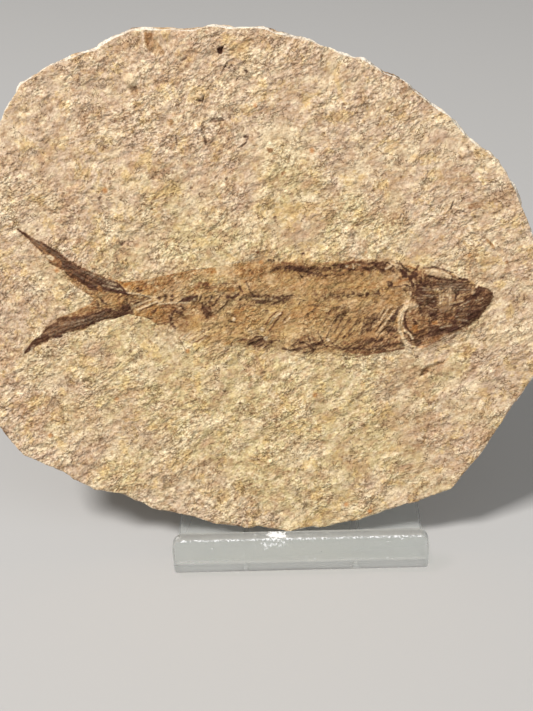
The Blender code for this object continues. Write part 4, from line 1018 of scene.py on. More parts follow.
def draw_eye(bed):
    line, spot, area, comb = bed.line, bed.spot, bed.area, bed.comb
    area(.6, 35.2, 62.3, 36.6, 62.8, 38, 62.9, 39.2, 62.2, 39.4, 60.5, 39, 59, 37.5, 58.6, 35.8, 58.8,
         35.2, 60.1, brown=-.2, dark=-.5, cream=.05, lift=.1)
    comb(5, .3, 35.3, 62.3, 35.3, 59.1, 39, 62.7, 39, 59.2, brown=.5, dark=.2)
    comb(4, .2, 35.8, 62.8, 38.3, 62.8, 35.6, 58.8, 38.8, 59, dark=-.3, cream=.35)
    area(.25, 35.1, 62.1, 36.1, 62.4, 36.8, 61.8, 36.1, 60.5, 35.2, 60.6, film=.5, brown=.15)
    spot(.45, 37.6, 61.1, dark=-.8, cream=.8)
    spot(.6, 38.3, 62.5, film=.3, cream=.35)
    line(.4, 34.4, 62.5, 35.2, 62.5, brown=-.6, dark=-.8, cream=.7)
    spot(.4, 35.8, 59.2, dark=-.6, cream=.8)
    line(.3, 36.6, 62, 37.3, 62.4, dark=.5)
    spot(.35, 36.6, 62.7, dark=.5)
    spot(.35, 35.3, 61.3, dark=.5)
    line(.4, 38.9, 62.5, 39.7, 61.3, 39.5, 59.7, dark=.6)
    area(.25, 39.2, 62.2, 40.2, 62.4, 40.5, 61.2, 39.5, 60.7, dark=.7)
    line(.5, 40, 60.4, 40.7, 60.9, 41.7, 61.1, rust=.6, brown=-.7, dark=-.8, cream=.2)
    area(.4, 35.3, 58.6, 38.5, 58.6, 39, 56.7, 35.8, 56.7, film=.2, brown=.15, dark=-.2, cream=.08)
    line(.25, 38.2, 58.8, 39.7, 59.2, 41.2, 59.6, dark=-.4, cream=.45)
    line(.3, 38.3, 58.4, 40, 58.9, dark=.6)


def draw_snout(bed):
    line, spot, area, comb = bed.line, bed.spot, bed.area, bed.comb
    area(.3, 43.9, 62.3, 45.8, 63.1, 47.5, 62.3, 48.6, 60.9, 48.5, 59.2, 47.3, 58.1, 45.1, 58,
         43.4, 58.6, 42.7, 59.6, brown=.3, dark=.27, lift=.1)
    area(.35, 44.1, 62.3, 45.6, 63, 47, 62.5, 45.8, 61.3, 44.6, 59.9, 43.6, 60.3, dark=.45)
    line(.55, 44.4, 60.7, 45.1, 61.2, dark=.95)
    line(.4, 45.9, 61.4, 46.8, 61.7, 47.5, 61.5, film=.4, brown=.3, dark=-.4)
    line(.3, 44.5, 59.6, 45.4, 59.8, 46.1, 60.1, dark=-.3, cream=.35)
    comb(5, .2, 46.1, 61, 45.6, 58.5, 48.5, 61.2, 48.3, 58.9, dark=.43)
    spot(.85, 43.8, 61.6, rust=.35, brown=-.8, dark=-.9, cream=.2)
    line(.35, 44.6, 62.9, 45.2, 63.6, 46, 64, brown=-1, dark=-1, cream=.85)
    line(.25, 47, 63.5, 48.3, 63.2, cream=.7)
    line(.35, 40.4, 57.8, 42.2, 59, 43.9, 60.3, 44.7, 62, dark=.92)
    line(.3, 39.5, 58.5, 41.2, 59.2, 43.1, 60.4, 44.1, 61.3, dark=.81)
    line(.3, 40, 57.3, 42.7, 58.2, 45.4, 58.3, dark=.65)
    line(.2, 40.7, 58.4, 43.2, 59.5, dark=-.3, cream=.2)
    line(.4, 46.6, 58.1, 47.9, 58.3, dark=.95)
    line(.25, 47.3, 57.8, 48.5, 58, 50.3, 58, cream=.45)
    line(.3, 44.6, 62.8, 47, 62.6, 48.2, 61.7, 48.8, 60.2, dark=.54)


def draw_jaw(bed):
    line, spot, area, comb = bed.line, bed.spot, bed.area, bed.comb
    area(.4, 39.5, 57.4, 42, 58.1, 45.1, 58.2, 47.2, 57.7, 46.6, 56.5, 45.2, 55, 42.7, 53.6, 40.3, 52.3,
         37.8, 51.6, 35.4, 51.3, 32.9, 50.8, 32.7, 52.9, 34.9, 53.3, 37.3, 53.6, 39.3, 54.9, brown=.25,
         dark=.54)
    line(.95, 38.2, 52.3, 39.1, 52.7, 40, 53, dark=.95, lift=.12)
    line(.8, 42.9, 56.1, 44.2, 56.8, 45.6, 57, dark=.81, lift=.1)
    line(.7, 41.5, 54.1, 43.2, 55.1, 44.7, 55.9, dark=.76)
    line(.45, 33.2, 52, 35.4, 52.3, 37.8, 52.6, dark=.92)
    line(.4, 33.4, 51.1, 35.4, 51.4, 37.3, 51.8, dark=.65)
    line(.25, 35.9, 53, 37.3, 53.3, 38.6, 53.6, dark=-.3, cream=.3)
    comb(5, .3, 35.8, 56.4, 36.1, 54.5, 39, 56.5, 39.8, 54.7, rust=.5, brown=.4)
    spot(.45, 37, 54.4, rust=.9, brown=-.6, dark=-.8)
    area(.3, 33.6, 54.7, 35.2, 54.7, 35.4, 53.8, 33.9, 53.7, rust=.8, brown=-.8, dark=-.9)
    line(.3, 35.9, 54.9, 37.6, 55, 39, 54.6, brown=.5, dark=.65)
    spot(.55, 40.7, 54.4, rust=.8, brown=-.5, dark=-.7)
    comb(6, .2, 39.8, 57.7, 39.5, 54.7, 43.2, 58.1, 42.7, 54.1, film=.4, dark=-.2, cream=.12)
    comb(7, .2, 40, 56.9, 40, 53.9, 45.9, 57.5, 43.2, 54.1, dark=.43)
    area(.35, 33.4, 57.9, 35.1, 57.3, 35.4, 55.2, 33.6, 55.4, 32.9, 56.6, dark=.54)
    line(.75, 33.5, 56.2, 34.1, 56.6, 34.7, 56, dark=.92)
    line(.3, 33.8, 55.5, 35.1, 55.1, dark=.65)
    line(.25, 32.4, 58.5, 33.9, 57.7, 34.9, 57.5, dark=-.3, cream=.2)
    area(.6, 38.3, 51.3, 36.1, 50.4, 33.7, 49, 31.7, 47.9, 30.2, 48, 31.2, 49.5, 33.4, 50.6, 35.9, 51.1,
         rust=.6, brown=-.3, dark=-.7)
    line(.5, 32.2, 49.2, 33.9, 49.8, film=.9, brown=-.2, cream=.12)
    line(.25, 37.3, 50.5, 34.4, 49.3, 31.9, 48.1, brown=.6)
    area(.35, 29.5, 50.4, 31.2, 50.1, 31.2, 48.6, 29.7, 48.5, dark=.54)
    comb(9, .2, 45.7, 54.5, 39.3, 51.2, 43.2, 51.3, 36.9, 48.4, brown=.3)
    comb(9, .2, 46.2, 54.2, 39.8, 50.6, 43.7, 51, 37.4, 48.2, cream=.25)


def draw_gill_cover(bed):
    line, spot, area = bed.line, bed.spot, bed.area
    area(.35, 27, 58.8, 28.7, 59.8, 30.2, 59.2, 30.9, 56.9, 31.9, 55.9, 33.2, 55.6, 33.4, 53.4,
         32.7, 51.6, 30.5, 50.9, 28.7, 51.5, 27.7, 53.8, 27.3, 56.3, film=.5, brown=-.3, dark=-.75,
         lift=.22)
    area(.35, 28, 59.4, 29.5, 59.6, 30.5, 58.8, 30, 57.9, 28.3, 58, film=-.3, cream=.3)
    area(.4, 28.7, 57.6, 30.6, 57.5, 30.9, 55.4, 29.2, 55.4, film=.3, brown=.36)
    area(.4, 30.8, 55.8, 32.9, 55.6, 32.9, 53.6, 30.9, 53.7, film=.3, rust=.14)
    line(.75, 29.4, 55.1, 29.8, 54.2, brown=.6, dark=.6)
    area(.35, 28.7, 54, 30.2, 53.9, 30.6, 51.9, 29.3, 52, rust=.85, brown=-.5, dark=-.5)
    spot(1.1, 31.4, 52.3, brown=.4, dark=.5)
    area(.5, 29.2, 52.2, 32.7, 52.4, 32.9, 51.1, 30.5, 50.7, brown=.5, dark=.25)
    line(.4, 33.1, 55, 33.2, 53.2, dark=.75)
    line(.25, 33.4, 55.1, 33.5, 52.3, brown=.6)
    line(.75, 30.6, 59, 31.2, 57.7, 31.4, 56.4, dark=.6, lift=-.1)
    line(.3, 27.1, 51.9, 28.5, 51.1, dark=.6)


def draw_shoulder_arch(bed):
    line, spot = bed.line, bed.spot
    line(.6, 28, 58.8, 26.5, 57.1, 25.7, 55.1, 25.8, 52.8, 26.5, 50.8, 28, 48.6, tip=.5, film=-.5,
         brown=-.6, dark=-.8, cream=.42, lift=.24)
    spot(.95, 27.3, 58.4, film=-.6, brown=-1, dark=-1, cream=.85, lift=.2)
    line(.4, 28.1, 57.9, 28.5, 57.3, dark=-.6, cream=.5)
    line(.55, 27.5, 57.5, 27.1, 55.5, 27.5, 53.3, brown=.2, dark=.75)
    line(.2, 26.7, 56.8, 26.4, 54.1, 27.3, 52.1, cream=.5)
    line(.5, 27.3, 53.4, 28.5, 52.2, 29.6, 51.3, dark=.85)
    line(.45, 27, 52.5, 28.2, 51.7, 29.1, 50.6, brown=-.6, dark=-.8, cream=.65, lift=.14)
    line(.3, 28, 51, 28.8, 50.1, dark=.6)
    line(.55, 26.7, 58.9, 25.3, 57.1, 24.2, 55, dark=.75)
    line(.75, 26.3, 50, 26.9, 48.7, dark=.8)
    line(.2, 25.5, 54.6, 26.5, 54.3, dark=.5)
    line(.5, 28.5, 48.2, 29.7, 47.1, brown=.4)


# ---- materials ----------------------------------------------------------

FLECK = shade(106, 72, 48)
# pale new stone on the broken rim, and the painted highlight along its top edge
BROKEN_STONE_AND_HIGHLIGHT = shade(250, 242, 226)
SOAKED_STONE = shade(210, 176, 124)    # stone that the fish's film has stained through
STONE_SHEEN = 0.14
# The power of the painted light that each channel takes, so that the painted shade in pits and cracks
# turns redder.
SHADE_POWERS = (("Red", 0.83), ("Green", 1.04), ("Blue", 1.2))
SHEET_IOR = 1.49
SHEET_SHADOW = (0.95, 0.96, 0.955)


def new_material(name):
    """A material, with its node tree and its main shader."""
    surface = bpy.data.materials.new(name)
    surface.use_nodes = True
    return surface, surface.node_tree, surface.node_tree.nodes["Principled BSDF"]


def add_node(tree, kind, **inputs):
    """A node with some of its sockets set or joined; a name's _ stands for a space."""
    node = tree.nodes.new(kind)
    for name, value in inputs.items():
        set_input(tree, node.inputs[name.replace("_", " ")], value)
    return node


def set_input(tree, socket, value):
    """Join a socket to another one, or set it to a number, a place or a colour."""
    if isinstance(value, bpy.types.NodeSocket):
        tree.links.new(value, socket)
    elif socket.type == "RGBA":
        socket.default_value = (*value, 1.0)
    else:
        socket.default_value = value


def math_node(tree, operation, first, second=0.0, third=None):
    """The outcome of one Math node."""
    node = tree.nodes.new("ShaderNodeMath")
    node.operation = operation
    for socket, value in zip(node.inputs, (first, second, third)):
        if value is not None:
            set_input(tree, socket, value)
    return node.outputs[0]


def vector_node(tree, operation, *values):
    """A Vector Math node with its values filled in."""
    node = tree.nodes.new("ShaderNodeVectorMath")
    node.operation = operation
    for socket, value in zip(node.inputs, values):
        set_input(tree, socket, value)
    return node


def mixed(tree, share, first, second, blend="MIX", kind="RGBA"):
    """One colour, or number, laid over another."""
    node = tree.nodes.new("ShaderNodeMix")
    node.data_type = kind
    node.blend_type = blend
    for name, value in (("Factor", share), ("A", first), ("B", second)):
        set_input(tree, node.inputs[name], value)
    return node.outputs["Result"]


def ranged(tree, value, low, high, to_low=0.0, to_high=1.0):
    """A smooth ramp from one number at low to another at high."""
    node = add_node(tree, "ShaderNodeMapRange", Value=value, From_Min=low, From_Max=high,
                    To_Min=to_low, To_Max=to_high)
    node.interpolation_type = "SMOOTHSTEP"
    return node.outputs["Result"]


def noise_node(tree, places, scale, detail=3.0, roughness=0.55, distortion=0.0):
    """Noise from 0 to 1, with 0.5 as its middle."""
    node = add_node(tree, "ShaderNodeTexNoise", Vector=places, Scale=scale, Detail=detail,
                    Roughness=roughness, Distortion=distortion)
    return node.outputs["Fac"]


def cells(tree, places, scale):
    """Scattered spots: the distance from the nearest one, and its own three random numbers."""
    node = add_node(tree, "ShaderNodeTexVoronoi", Vector=places, Scale=scale)
    pick = add_node(tree, "ShaderNodeSeparateColor", Color=node.outputs["Color"])
    return node.outputs["Distance"], pick.outputs


def from_middle(tree, value):
    """How far a noise is from its middle, so that 0 draws thin winding lines."""
    return math_node(tree, "ABSOLUTE", math_node(tree, "SUBTRACT", value, 0.5))


def new_group(name, inputs, outputs):
    """An empty node group with its sockets; returns the group and its two end nodes."""
    group = bpy.data.node_groups.new(name, "ShaderNodeTree")
    for direction, sockets in (("INPUT", inputs), ("OUTPUT", outputs)):
        for label, kind in sockets:
            group.interface.new_socket(name=label, in_out=direction, socket_type=kind)
    return group, group.nodes.new("NodeGroupInput"), group.nodes.new("NodeGroupOutput")


def measured(tree, places, **axes):
    """Places as measured from axes with their own Location, Rotation and Scale."""
    node = add_node(tree, "ShaderNodeMapping", Vector=places, **axes)
    node.vector_type = "TEXTURE"
    return node.outputs["Vector"]


def slab_places(tree):
    """Millimetres in the slab's own plane, from the place of a point in the scene."""
    coords = tree.nodes.new("ShaderNodeTexCoord")
    return measured(tree, coords.outputs["Object"], Location=SLAB_FOOT,
                    Rotation=(math.radians(90.0 - LEAN), 0.0, 0.0), Scale=(MM, MM, MM))


def along_grain(tree, places, stretch):
    """Places turned so that noise read there is drawn out along the grain."""
    return measured(tree, places, Rotation=(0.0, 0.0, STREAK_ANGLE), Scale=(stretch, 1.0, 1.0))


def limestone_group(stone):
    """Colour, fine relief and roughness of the buff limestone."""
    group, start, end = new_group(
        "limestone",
        (("Rim_and_highlight", "NodeSocketFloat"),),
        (("Colour", "NodeSocketColor"), ("Height", "NodeSocketFloat"),
         ("Roughness", "NodeSocketFloat")))
    flat = slab_places(group)
    bent = wavy(group, flat, 0.045, 4.0)
    grain = along_grain(group, bent, 1.5)
    fine = along_grain(group, bent, 1.2)
    colour = stone_colour(group, stone, flat, bent, grain, fine)

    # grit, weaker in calm patches, and pits and short cracks along the bedding
    calm = noise_node(group, add_offset(group, flat, (19.0, 5.0, 3.0)), 0.09, 3.0, 0.65)
    grit = noise_node(group, fine, 1.6, 2.4, 0.75)
    grit = math_node(group, "MULTIPLY_ADD", math_node(group, "SUBTRACT", grit, 0.5),
                     ranged(group, calm, 0.38, 0.62, 0.55, 1.35), 0.5)
    clods = noise_node(group, add_offset(group, grain, (3.0, 57.0, 1.0)), 0.30, 2.0, 0.6)
    pits = noise_node(group, add_offset(group, fine, (2.0, 13.0, 4.0)), 0.85, 2.0, 0.6)
    pits = ranged(group, pits, 0.36, 0.30)
    creases = noise_node(group, add_offset(group, fine, (11.0, 2.0, 9.0)), 0.33, 4.0, 0.65, 0.2)
    broken = noise_node(group, add_offset(group, bent, (5.0, 23.0, 2.0)), 0.22, 2.0, 0.5)
    crack = math_node(group, "MULTIPLY",
                      ranged(group, from_middle(group, creases), 0.014, 0.002),
                      ranged(group, broken, 0.50, 0.58))
    # painted light and shade: the colour is brightened and darkened as the clods and grit would be lit,
    # and darkened with painted shade in the pits and cracks
    light = ranged(group, clods, 0.36, 0.64, 0.86, 1.11)
    for layer, low, high, to_low, to_high in (
            (grit, 0.30, 0.70, 0.61, 1.34), (pits, 0.0, 1.0, 1.0, 0.68),
            (crack, 0.0, 1.0, 1.0, 0.42)):
        light = math_node(group, "MULTIPLY", light,
                          ranged(group, layer, low, high, to_low, to_high))
    light = add_node(group, "ShaderNodeCombineColor", **{
        channel: math_node(group, "POWER", light, power) for channel, power in SHADE_POWERS})
    colour = mixed(group, 1.0, colour, light.outputs["Color"], "MULTIPLY")

    # iron spots, a scatter of small dark flecks, and white where it is freshly broken, with a painted
    # highlight along the upward-facing top edge
    reach, pick = cells(group, flat, 0.16)
    rusty = math_node(group, "MULTIPLY", ranged(group, reach, 0.16, 0.03),
                      ranged(group, pick["Red"], 0.60, 0.72, 0.0, 0.75))
    reach, pick = cells(group, fine, 0.36)
    fleck = math_node(group, "MULTIPLY", ranged(group, reach, 0.17, 0.07),
                      ranged(group, pick["Green"], 0.72, 0.80, 0.0, 0.65))
    rim_and_highlight = ranged(group, start.outputs["Rim_and_highlight"], 0.0, 1.0, 0.0, 0.86)
    for share, tint in ((rusty, stone.rust), (fleck, FLECK), (rim_and_highlight, BROKEN_STONE_AND_HIGHLIGHT)):
        colour = mixed(group, share, colour, tint)

    # relief finer than the mesh, but no finer than can be seen
    height = math_node(group, "MULTIPLY", noise_node(group, fine, 0.5, 2.0, 0.7),
                       ranged(group, calm, 0.38, 0.62, 0.6, 1.7))
    ridges = noise_node(group, add_offset(group, grain, (1.0, 3.0, 9.0)), 0.26, 3.0, 0.6)
    for layer, depth in ((from_middle(group, ridges), -0.95), (grit, 0.16), (pits, -0.14),
                         (crack, -0.18), (fleck, -0.16)):
        height = math_node(group, "MULTIPLY_ADD", layer, depth, height)
    roughness = ranged(group, grit, 0.3, 0.7, 0.80, 0.96)
    for name, socket in (("Colour", colour), ("Height", height), ("Roughness", roughness)):
        group.links.new(socket, end.inputs[name])
    return group


def stone_colour(group, stone, flat, bent, grain, fine):
    """Rosy tan towards the rim and ochre below the middle, with blotches and specks on both."""
    away = vector_node(group, "DISTANCE", flat, WARM_MIDDLE).outputs["Value"]
    broad = noise_node(group, flat, 0.06, 4.0, 0.6, 0.5)
    warmth = math_node(group, "ADD", ranged(group, broad, 0.35, 0.65, -18.0, 18.0), away)
    colour = mixed(group, ranged(group, warmth, 22.0, 62.0), stone.ochre, stone.tan)

    patchy = noise_node(group, grain, 0.17, 4.0, 0.7, 0.3)
    tinted = noise_node(group, add_offset(group, bent, (31.0, 7.0, 3.0)), 0.17, 4.0, 0.7, 0.3)
    specks = add_node(group, "ShaderNodeTexNoise", Vector=fine, Scale=0.6, Detail=2.0,
                      Roughness=0.7)
    specks = add_node(group, "ShaderNodeSeparateColor", Color=specks.outputs["Color"]).outputs
    # each layer with where it starts and is full, how much it colours at most, and its colour
    for layer, low, high, most, tint in (
            (patchy, 0.50, 0.60, 0.65, stone.cream),
            (patchy, 0.47, 0.38, 0.60, stone.umber),
            (tinted, 0.54, 0.62, 0.55, stone.yellow),
            (tinted, 0.42, 0.36, 0.28, stone.rosy),
            (specks["Red"], 0.53, 0.61, 0.55, stone.cream),
            (specks["Green"], 0.53, 0.61, 0.50, stone.umber),
            (specks["Blue"], 0.53, 0.61, 0.20, stone.yellow)):
        colour = mixed(group, ranged(group, layer, low, high, 0.0, most), colour, tint)
    return colour


def wavy(tree, places, scale, reach):
    """Places pushed about, so that the grain doesn't run dead straight."""
    push = add_node(tree, "ShaderNodeTexNoise", Vector=places, Scale=scale, Detail=2.0)
    return vector_node(tree, "MULTIPLY_ADD", push.outputs["Color"], (reach, reach, reach),
                       places).outputs["Vector"]


def add_offset(tree, places, offset):
    """Places moved aside, to read another part of the same kind of noise."""
    return vector_node(tree, "ADD", places, offset).outputs["Vector"]


def stains_group(fish):
    """Lays the film, the thin and thick bone and the pale bone over a colour."""
    sockets = [("Colour", "NodeSocketColor")]
    sockets += [(name.capitalize(), "NodeSocketFloat") for name in STAINS]
    group, start, end = new_group("stains", sockets, (("Colour", "NodeSocketColor"),
                                                      ("Bone", "NodeSocketFloat")))
    places = slab_places(group)
    grain = along_grain(group, places, 1.7)
    mottle = noise_node(group, grain, 0.9, 5.0, 0.72, 0.5)
    speck = noise_node(group, grain, 2.4, 3.0, 0.7)
    colour = start.outputs["Colour"]

    # the film stains the stone through, and leaves scraps of brown on it
    film = math_node(group, "MULTIPLY", deepened(group, start.outputs["Film"]),
                     ranged(group, mottle, 0.36, 0.62, 0.62, 1.0))
    colour = mixed(group, math_node(group, "MULTIPLY", film, 0.45), colour, SOAKED_STONE)
    colour = mixed(group, film, colour, fish.film, "MULTIPLY")
    scraps = math_node(group, "MULTIPLY", film, ranged(group, speck, 0.53, 0.63, 0.0, 0.55))
    colour = mixed(group, scraps, colour, fish.brown)

    worn = math_node(group, "ADD", ranged(group, mottle, 0.38, 0.62, -0.26, 0.2),
                     ranged(group, speck, 0.36, 0.64, -0.34, 0.3))
    amounts = {}
    for name, tint, blend in (("Rust", fish.rust, "MULTIPLY"), ("Brown", fish.brown, "MIX"),
                              ("Dark", fish.dark, "MIX"), ("Cream", fish.cream, "MIX")):
        amounts[name] = soaked(group, start.outputs[name], worn)
        colour = mixed(group, amounts[name], colour, tint, blend)
    group.links.new(colour, end.inputs["Colour"])
    bone = math_node(group, "MAXIMUM", amounts["Dark"], amounts["Cream"])
    group.links.new(bone, end.inputs["Bone"])
    return group


def deepened(tree, amount):
    """A given amount, as the share that mixes to the same depth of colour."""
    rest = math_node(tree, "SUBTRACT", 1.0, amount)
    return math_node(tree, "SUBTRACT", 1.0, math_node(tree, "POWER", rest, 1.6))


def soaked(tree, amount, worn):
    """An amount of stain that comes and goes with the wear, but stays none where it is none."""
    amount = deepened(tree, amount)
    rest = math_node(tree, "MULTIPLY", amount, math_node(tree, "SUBTRACT", 1.0, amount))
    changed = math_node(tree, "MULTIPLY_ADD", math_node(tree, "MULTIPLY", rest, 3.2), worn,
                        amount)
    return add_node(tree, "ShaderNodeClamp", Value=changed).outputs["Result"]


def stone_material(name, stone, fish):
    """Limestone with whatever is drawn on its points laid over it."""
    surface, tree, shader = new_material(name)
    limestone = tree.nodes.new("ShaderNodeGroup")
    limestone.node_tree = bpy.data.node_groups.get("limestone") or limestone_group(stone)
    stains = tree.nodes.new("ShaderNodeGroup")
    stains.node_tree = bpy.data.node_groups.get("stains") or stains_group(fish)
    tree.links.new(mask(tree, "rim_and_highlight"), limestone.inputs["Rim_and_highlight"])
    tree.links.new(limestone.outputs["Colour"], stains.inputs["Colour"])
    for stain in STAINS:
        tree.links.new(mask(tree, stain), stains.inputs[stain.capitalize()])
    tree.links.new(stains.outputs["Colour"], shader.inputs["Base Color"])
    polish = mixed_value(tree, stains.outputs["Bone"], limestone.outputs["Roughness"],
                         BONE_ROUGHNESS)
    tree.links.new(polish, shader.inputs["Roughness"])
    bump(tree, shader, limestone.outputs["Height"])
    shader.inputs["Specular IOR Level"].default_value = STONE_SHEEN
    return surface


def bump(tree, shader, height):
    """Relief in millimetres, finer than the mesh."""
    node = add_node(tree, "ShaderNodeBump", Distance=MM, Strength=1.0, Height=height)
    tree.links.new(node.outputs["Normal"], shader.inputs["Normal"])


def mask(tree, name):
    """The value that write_mask kept on the points of the piece."""
    node = tree.nodes.new("ShaderNodeAttribute")
    node.attribute_name = name
    return node.outputs["Fac"]


def mixed_value(tree, share, first, second):
    """A number between two others."""
    return mixed(tree, share, first, second, kind="FLOAT")


def acrylic_material(stand):
    """Clear sheet: smeared faces, bright worn edges, a white scuff and chips on the lip, and painted
    glints on its edge and corner.
    """
    surface, tree, shader = new_material("clear_acrylic")
    places = sheet_places(tree, (0.0, 0.0, 0.0), (1.0, 1.0, 1.0))
    smears = noise_node(tree, places, 0.16, 4.0, 0.6, 0.8)
    dust = noise_node(tree, places, 2.6, 2.0, 0.5)
    dull = math_node(tree, "ADD", ranged(tree, smears, 0.5, 0.75, stand.gloss, 0.045),
                     ranged(tree, dust, 0.66, 0.74, 0.0, 0.2))
    roughness = mixed_value(tree, mask(tree, "cut"), dull, stand.edge)
    tree.links.new(roughness, shader.inputs["Roughness"])
    waves = noise_node(tree, places, 0.9, 3.0, 0.6)
    bump(tree, shader, math_node(tree, "MULTIPLY", waves,
                                 mixed_value(tree, mask(tree, "cut"), 0.004, 0.09)))
    shader.inputs["Base Color"].default_value = (*stand.tint, 1.0)
    shader.inputs["Transmission Weight"].default_value = 1.0
    shader.inputs["IOR"].default_value = SHEET_IOR

    # white where the sheet is scraped or chipped through its polish, and painted glints along the lip's
    # front edge and at its left corner
    white = add_node(tree, "ShaderNodeBsdfDiffuse", Color=stand.scrape_and_glint)
    worn = tree.nodes.new("ShaderNodeMixShader")
    tree.links.new(scrapes_and_glints(tree, places), worn.inputs["Fac"])
    tree.links.new(shader.outputs["BSDF"], worn.inputs[1])
    tree.links.new(white.outputs["BSDF"], worn.inputs[2])

    # light falls through the sheet onto what stands behind it
    rays = tree.nodes.new("ShaderNodeLightPath")
    passing = math_node(tree, "MAXIMUM", rays.outputs["Is Shadow Ray"],
                        rays.outputs["Is Diffuse Ray"])
    clear = add_node(tree, "ShaderNodeBsdfTransparent", Color=SHEET_SHADOW)
    either = tree.nodes.new("ShaderNodeMixShader")
    tree.links.new(passing, either.inputs["Fac"])
    tree.links.new(worn.outputs["Shader"], either.inputs[1])
    tree.links.new(clear.outputs["BSDF"], either.inputs[2])
    tree.links.new(either.outputs["Shader"], tree.nodes["Material Output"].inputs["Surface"])
    return surface


def sheet_places(tree, middle, reach):
    """Places on the stand in millimetres from a middle, measured in lengths of the reach."""
    coords = tree.nodes.new("ShaderNodeTexCoord")
    return measured(tree, coords.outputs["Object"], Location=Vector(middle) * MM,
                    Scale=Vector(reach) * MM)


def scrapes_and_glints(tree, places):
    """How white the stand is scraped and where glints are painted: the lip's chipped front edge with a
    painted glint along it, its scuffs, a painted glint at the left end of its top, and its dust.
    """
    grain = noise_node(tree, places, 1.9, 3.0, 0.65)
    torn = noise_node(tree, places, 0.55, 3.0, 0.7)
    shapes = (
        # middle, reach, how far the grain eats into it, most
        # the lip's front edge: chips, and a painted glint along it
        ((0.0, LIP_FRONT - 0.05, LIP_TOP - 0.05), (90.0, 0.44, 0.44), 1.5, 0.95),
        ((-5.8, LIP_FRONT + 1.5, LIP_TOP), (2.8, 1.75, 0.9), 0.6, 0.95),
        ((-6.6, LIP_FRONT, LIP_TOP - 1.3), (3.4, 0.6, 1.5), 2.4, 0.85),
        ((-8.6, LIP_FRONT, LIP_TOP - 2.2), (0.8, 0.5, 1.4), 1.3, 0.7),
        # a painted glint at the left end of the lip's top
        ((-31.0, LIP_FRONT + 1.6, LIP_TOP), (1.4, 1.8, 0.9), 2.2, 0.8),
    )
    most = None
    for middle, reach, eaten, share in shapes:
        length = vector_node(tree, "LENGTH", sheet_places(tree, middle, reach))
        away = math_node(tree, "ADD", length.outputs["Value"],
                         ranged(tree, grain, 0.35, 0.65, eaten, -0.1))
        here = ranged(tree, away, 1.15, 0.85, 0.0, share)
        most = here if most is None else math_node(tree, "MAXIMUM", most, here)
    reach, pick = cells(tree, places, 0.55)
    speck = math_node(tree, "MULTIPLY", ranged(tree, reach, 0.20, 0.12),
                      ranged(tree, pick["Red"], 0.72, 0.78, 0.0, 0.75))
    speck = math_node(tree, "MULTIPLY", speck, ranged(tree, torn, 0.48, 0.56))
    return math_node(tree, "MAXIMUM", most, speck)


def floor_material(stage):
    """Plain dull floor."""
    surface, _, shader = new_material("plain_floor")
    shader.inputs["Base Color"].default_value = (*stage.floor, 1.0)
    shader.inputs["Roughness"].default_value = 0.9
    return surface


# ---- the slab -----------------------------------------------------------

LEVEL = (0.55, 0.85)               # a normal's z, from the edge to the face or back
# Depths from the face, millimetres.
FACE_BAND = (-1.6, -0.7)           # the face comes in between these
BACK_BAND = (-7.3, -8.2)           # and the back between these
MARKS_ABOVE = -1.0                 # the mesh is divided finely round marks above this
THINNED_BELOW = -6.0               # and made coarser below this


def close_seat(thing):
    """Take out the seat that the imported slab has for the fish, and close the face over it."""
    points = read_points(thing.data)
    on_floor = np.abs(points[:, 2] + SEAT_DEPTH * MM) < 0.002 * MM
    floor = np.zeros(len(points), bool)
    for face in thing.data.polygons:
        corners = list(face.vertices)
        if on_floor[corners].all():
            floor[corners] = True
    wanted = [bool(floor[list(face.vertices)].any()) for face in thing.data.polygons]
    if not any(wanted):
        raise RuntimeError("the slab has no seat for the fish")
    select_faces(thing, wanted)
    bpy.ops.mesh.delete(type="FACE")
    bpy.context.tool_settings.mesh_select_mode = (True, False, False)
    bpy.ops.mesh.select_all(action="DESELECT")
    bpy.ops.mesh.select_non_manifold()
    bpy.ops.mesh.fill()
    bpy.ops.object.mode_set(mode="OBJECT")


def edge_layers(points):
    """Bites into the broken edge, 0 to 1: thin beds that part, and flakes off them."""
    x, up, out = points.T
    beds = rough(np.column_stack((x / 9.0, up / 9.0, out / 0.85)), 1.0, 4.4)
    flakes = rough(np.column_stack((x / 2.6, up / 2.6, out / 1.5)), 1.0, 9.2)
    crumbs = rough(points, 0.95, 15.8)
    return np.clip(0.45 + 0.5 * beds + 0.45 * np.tanh(3.0 * flakes) + 0.3 * crumbs, 0.0, 1.5)


def back_hollows(points):
    """How deep the rough back is hollowed at each point, in millimetres."""
    back = 0.34 * rough(points, 6.5, 2.2) + 0.2 * rough(points, 2.1, 6.1)
    back += 0.12 * np.tanh(5.0 * rough(points, 3.4, 12.5))
    return 0.35 + np.clip(back, -0.35, 0.6)


def broken_rim_and_highlight(points, normals, side):
    """Where the edge shows pale new stone, 0 to 1: patches near the face, and a painted highlight along
    its upward-facing top crest.
    """
    depth = 1.9 + 2.2 * rough(points, 6.0, 27.4)
    edge = np.sqrt(side) * smooth(points[:, 2] + depth, -0.9, 0.9)
    rubbed = smooth(rough(points, 1.7, 3.3), -0.4, 0.2)
    # painted highlight: the upward-facing top of the rim is whitened where light falls on it
    crest = smooth(normals[:, 1], -0.25, 0.2) * smooth(points[:, 2], -1.5, -0.4)
    rim_and_highlight = edge * rubbed * 0.85
    return np.maximum(rim_and_highlight, np.sqrt(side) * crest * (0.75 + 0.25 * rubbed))


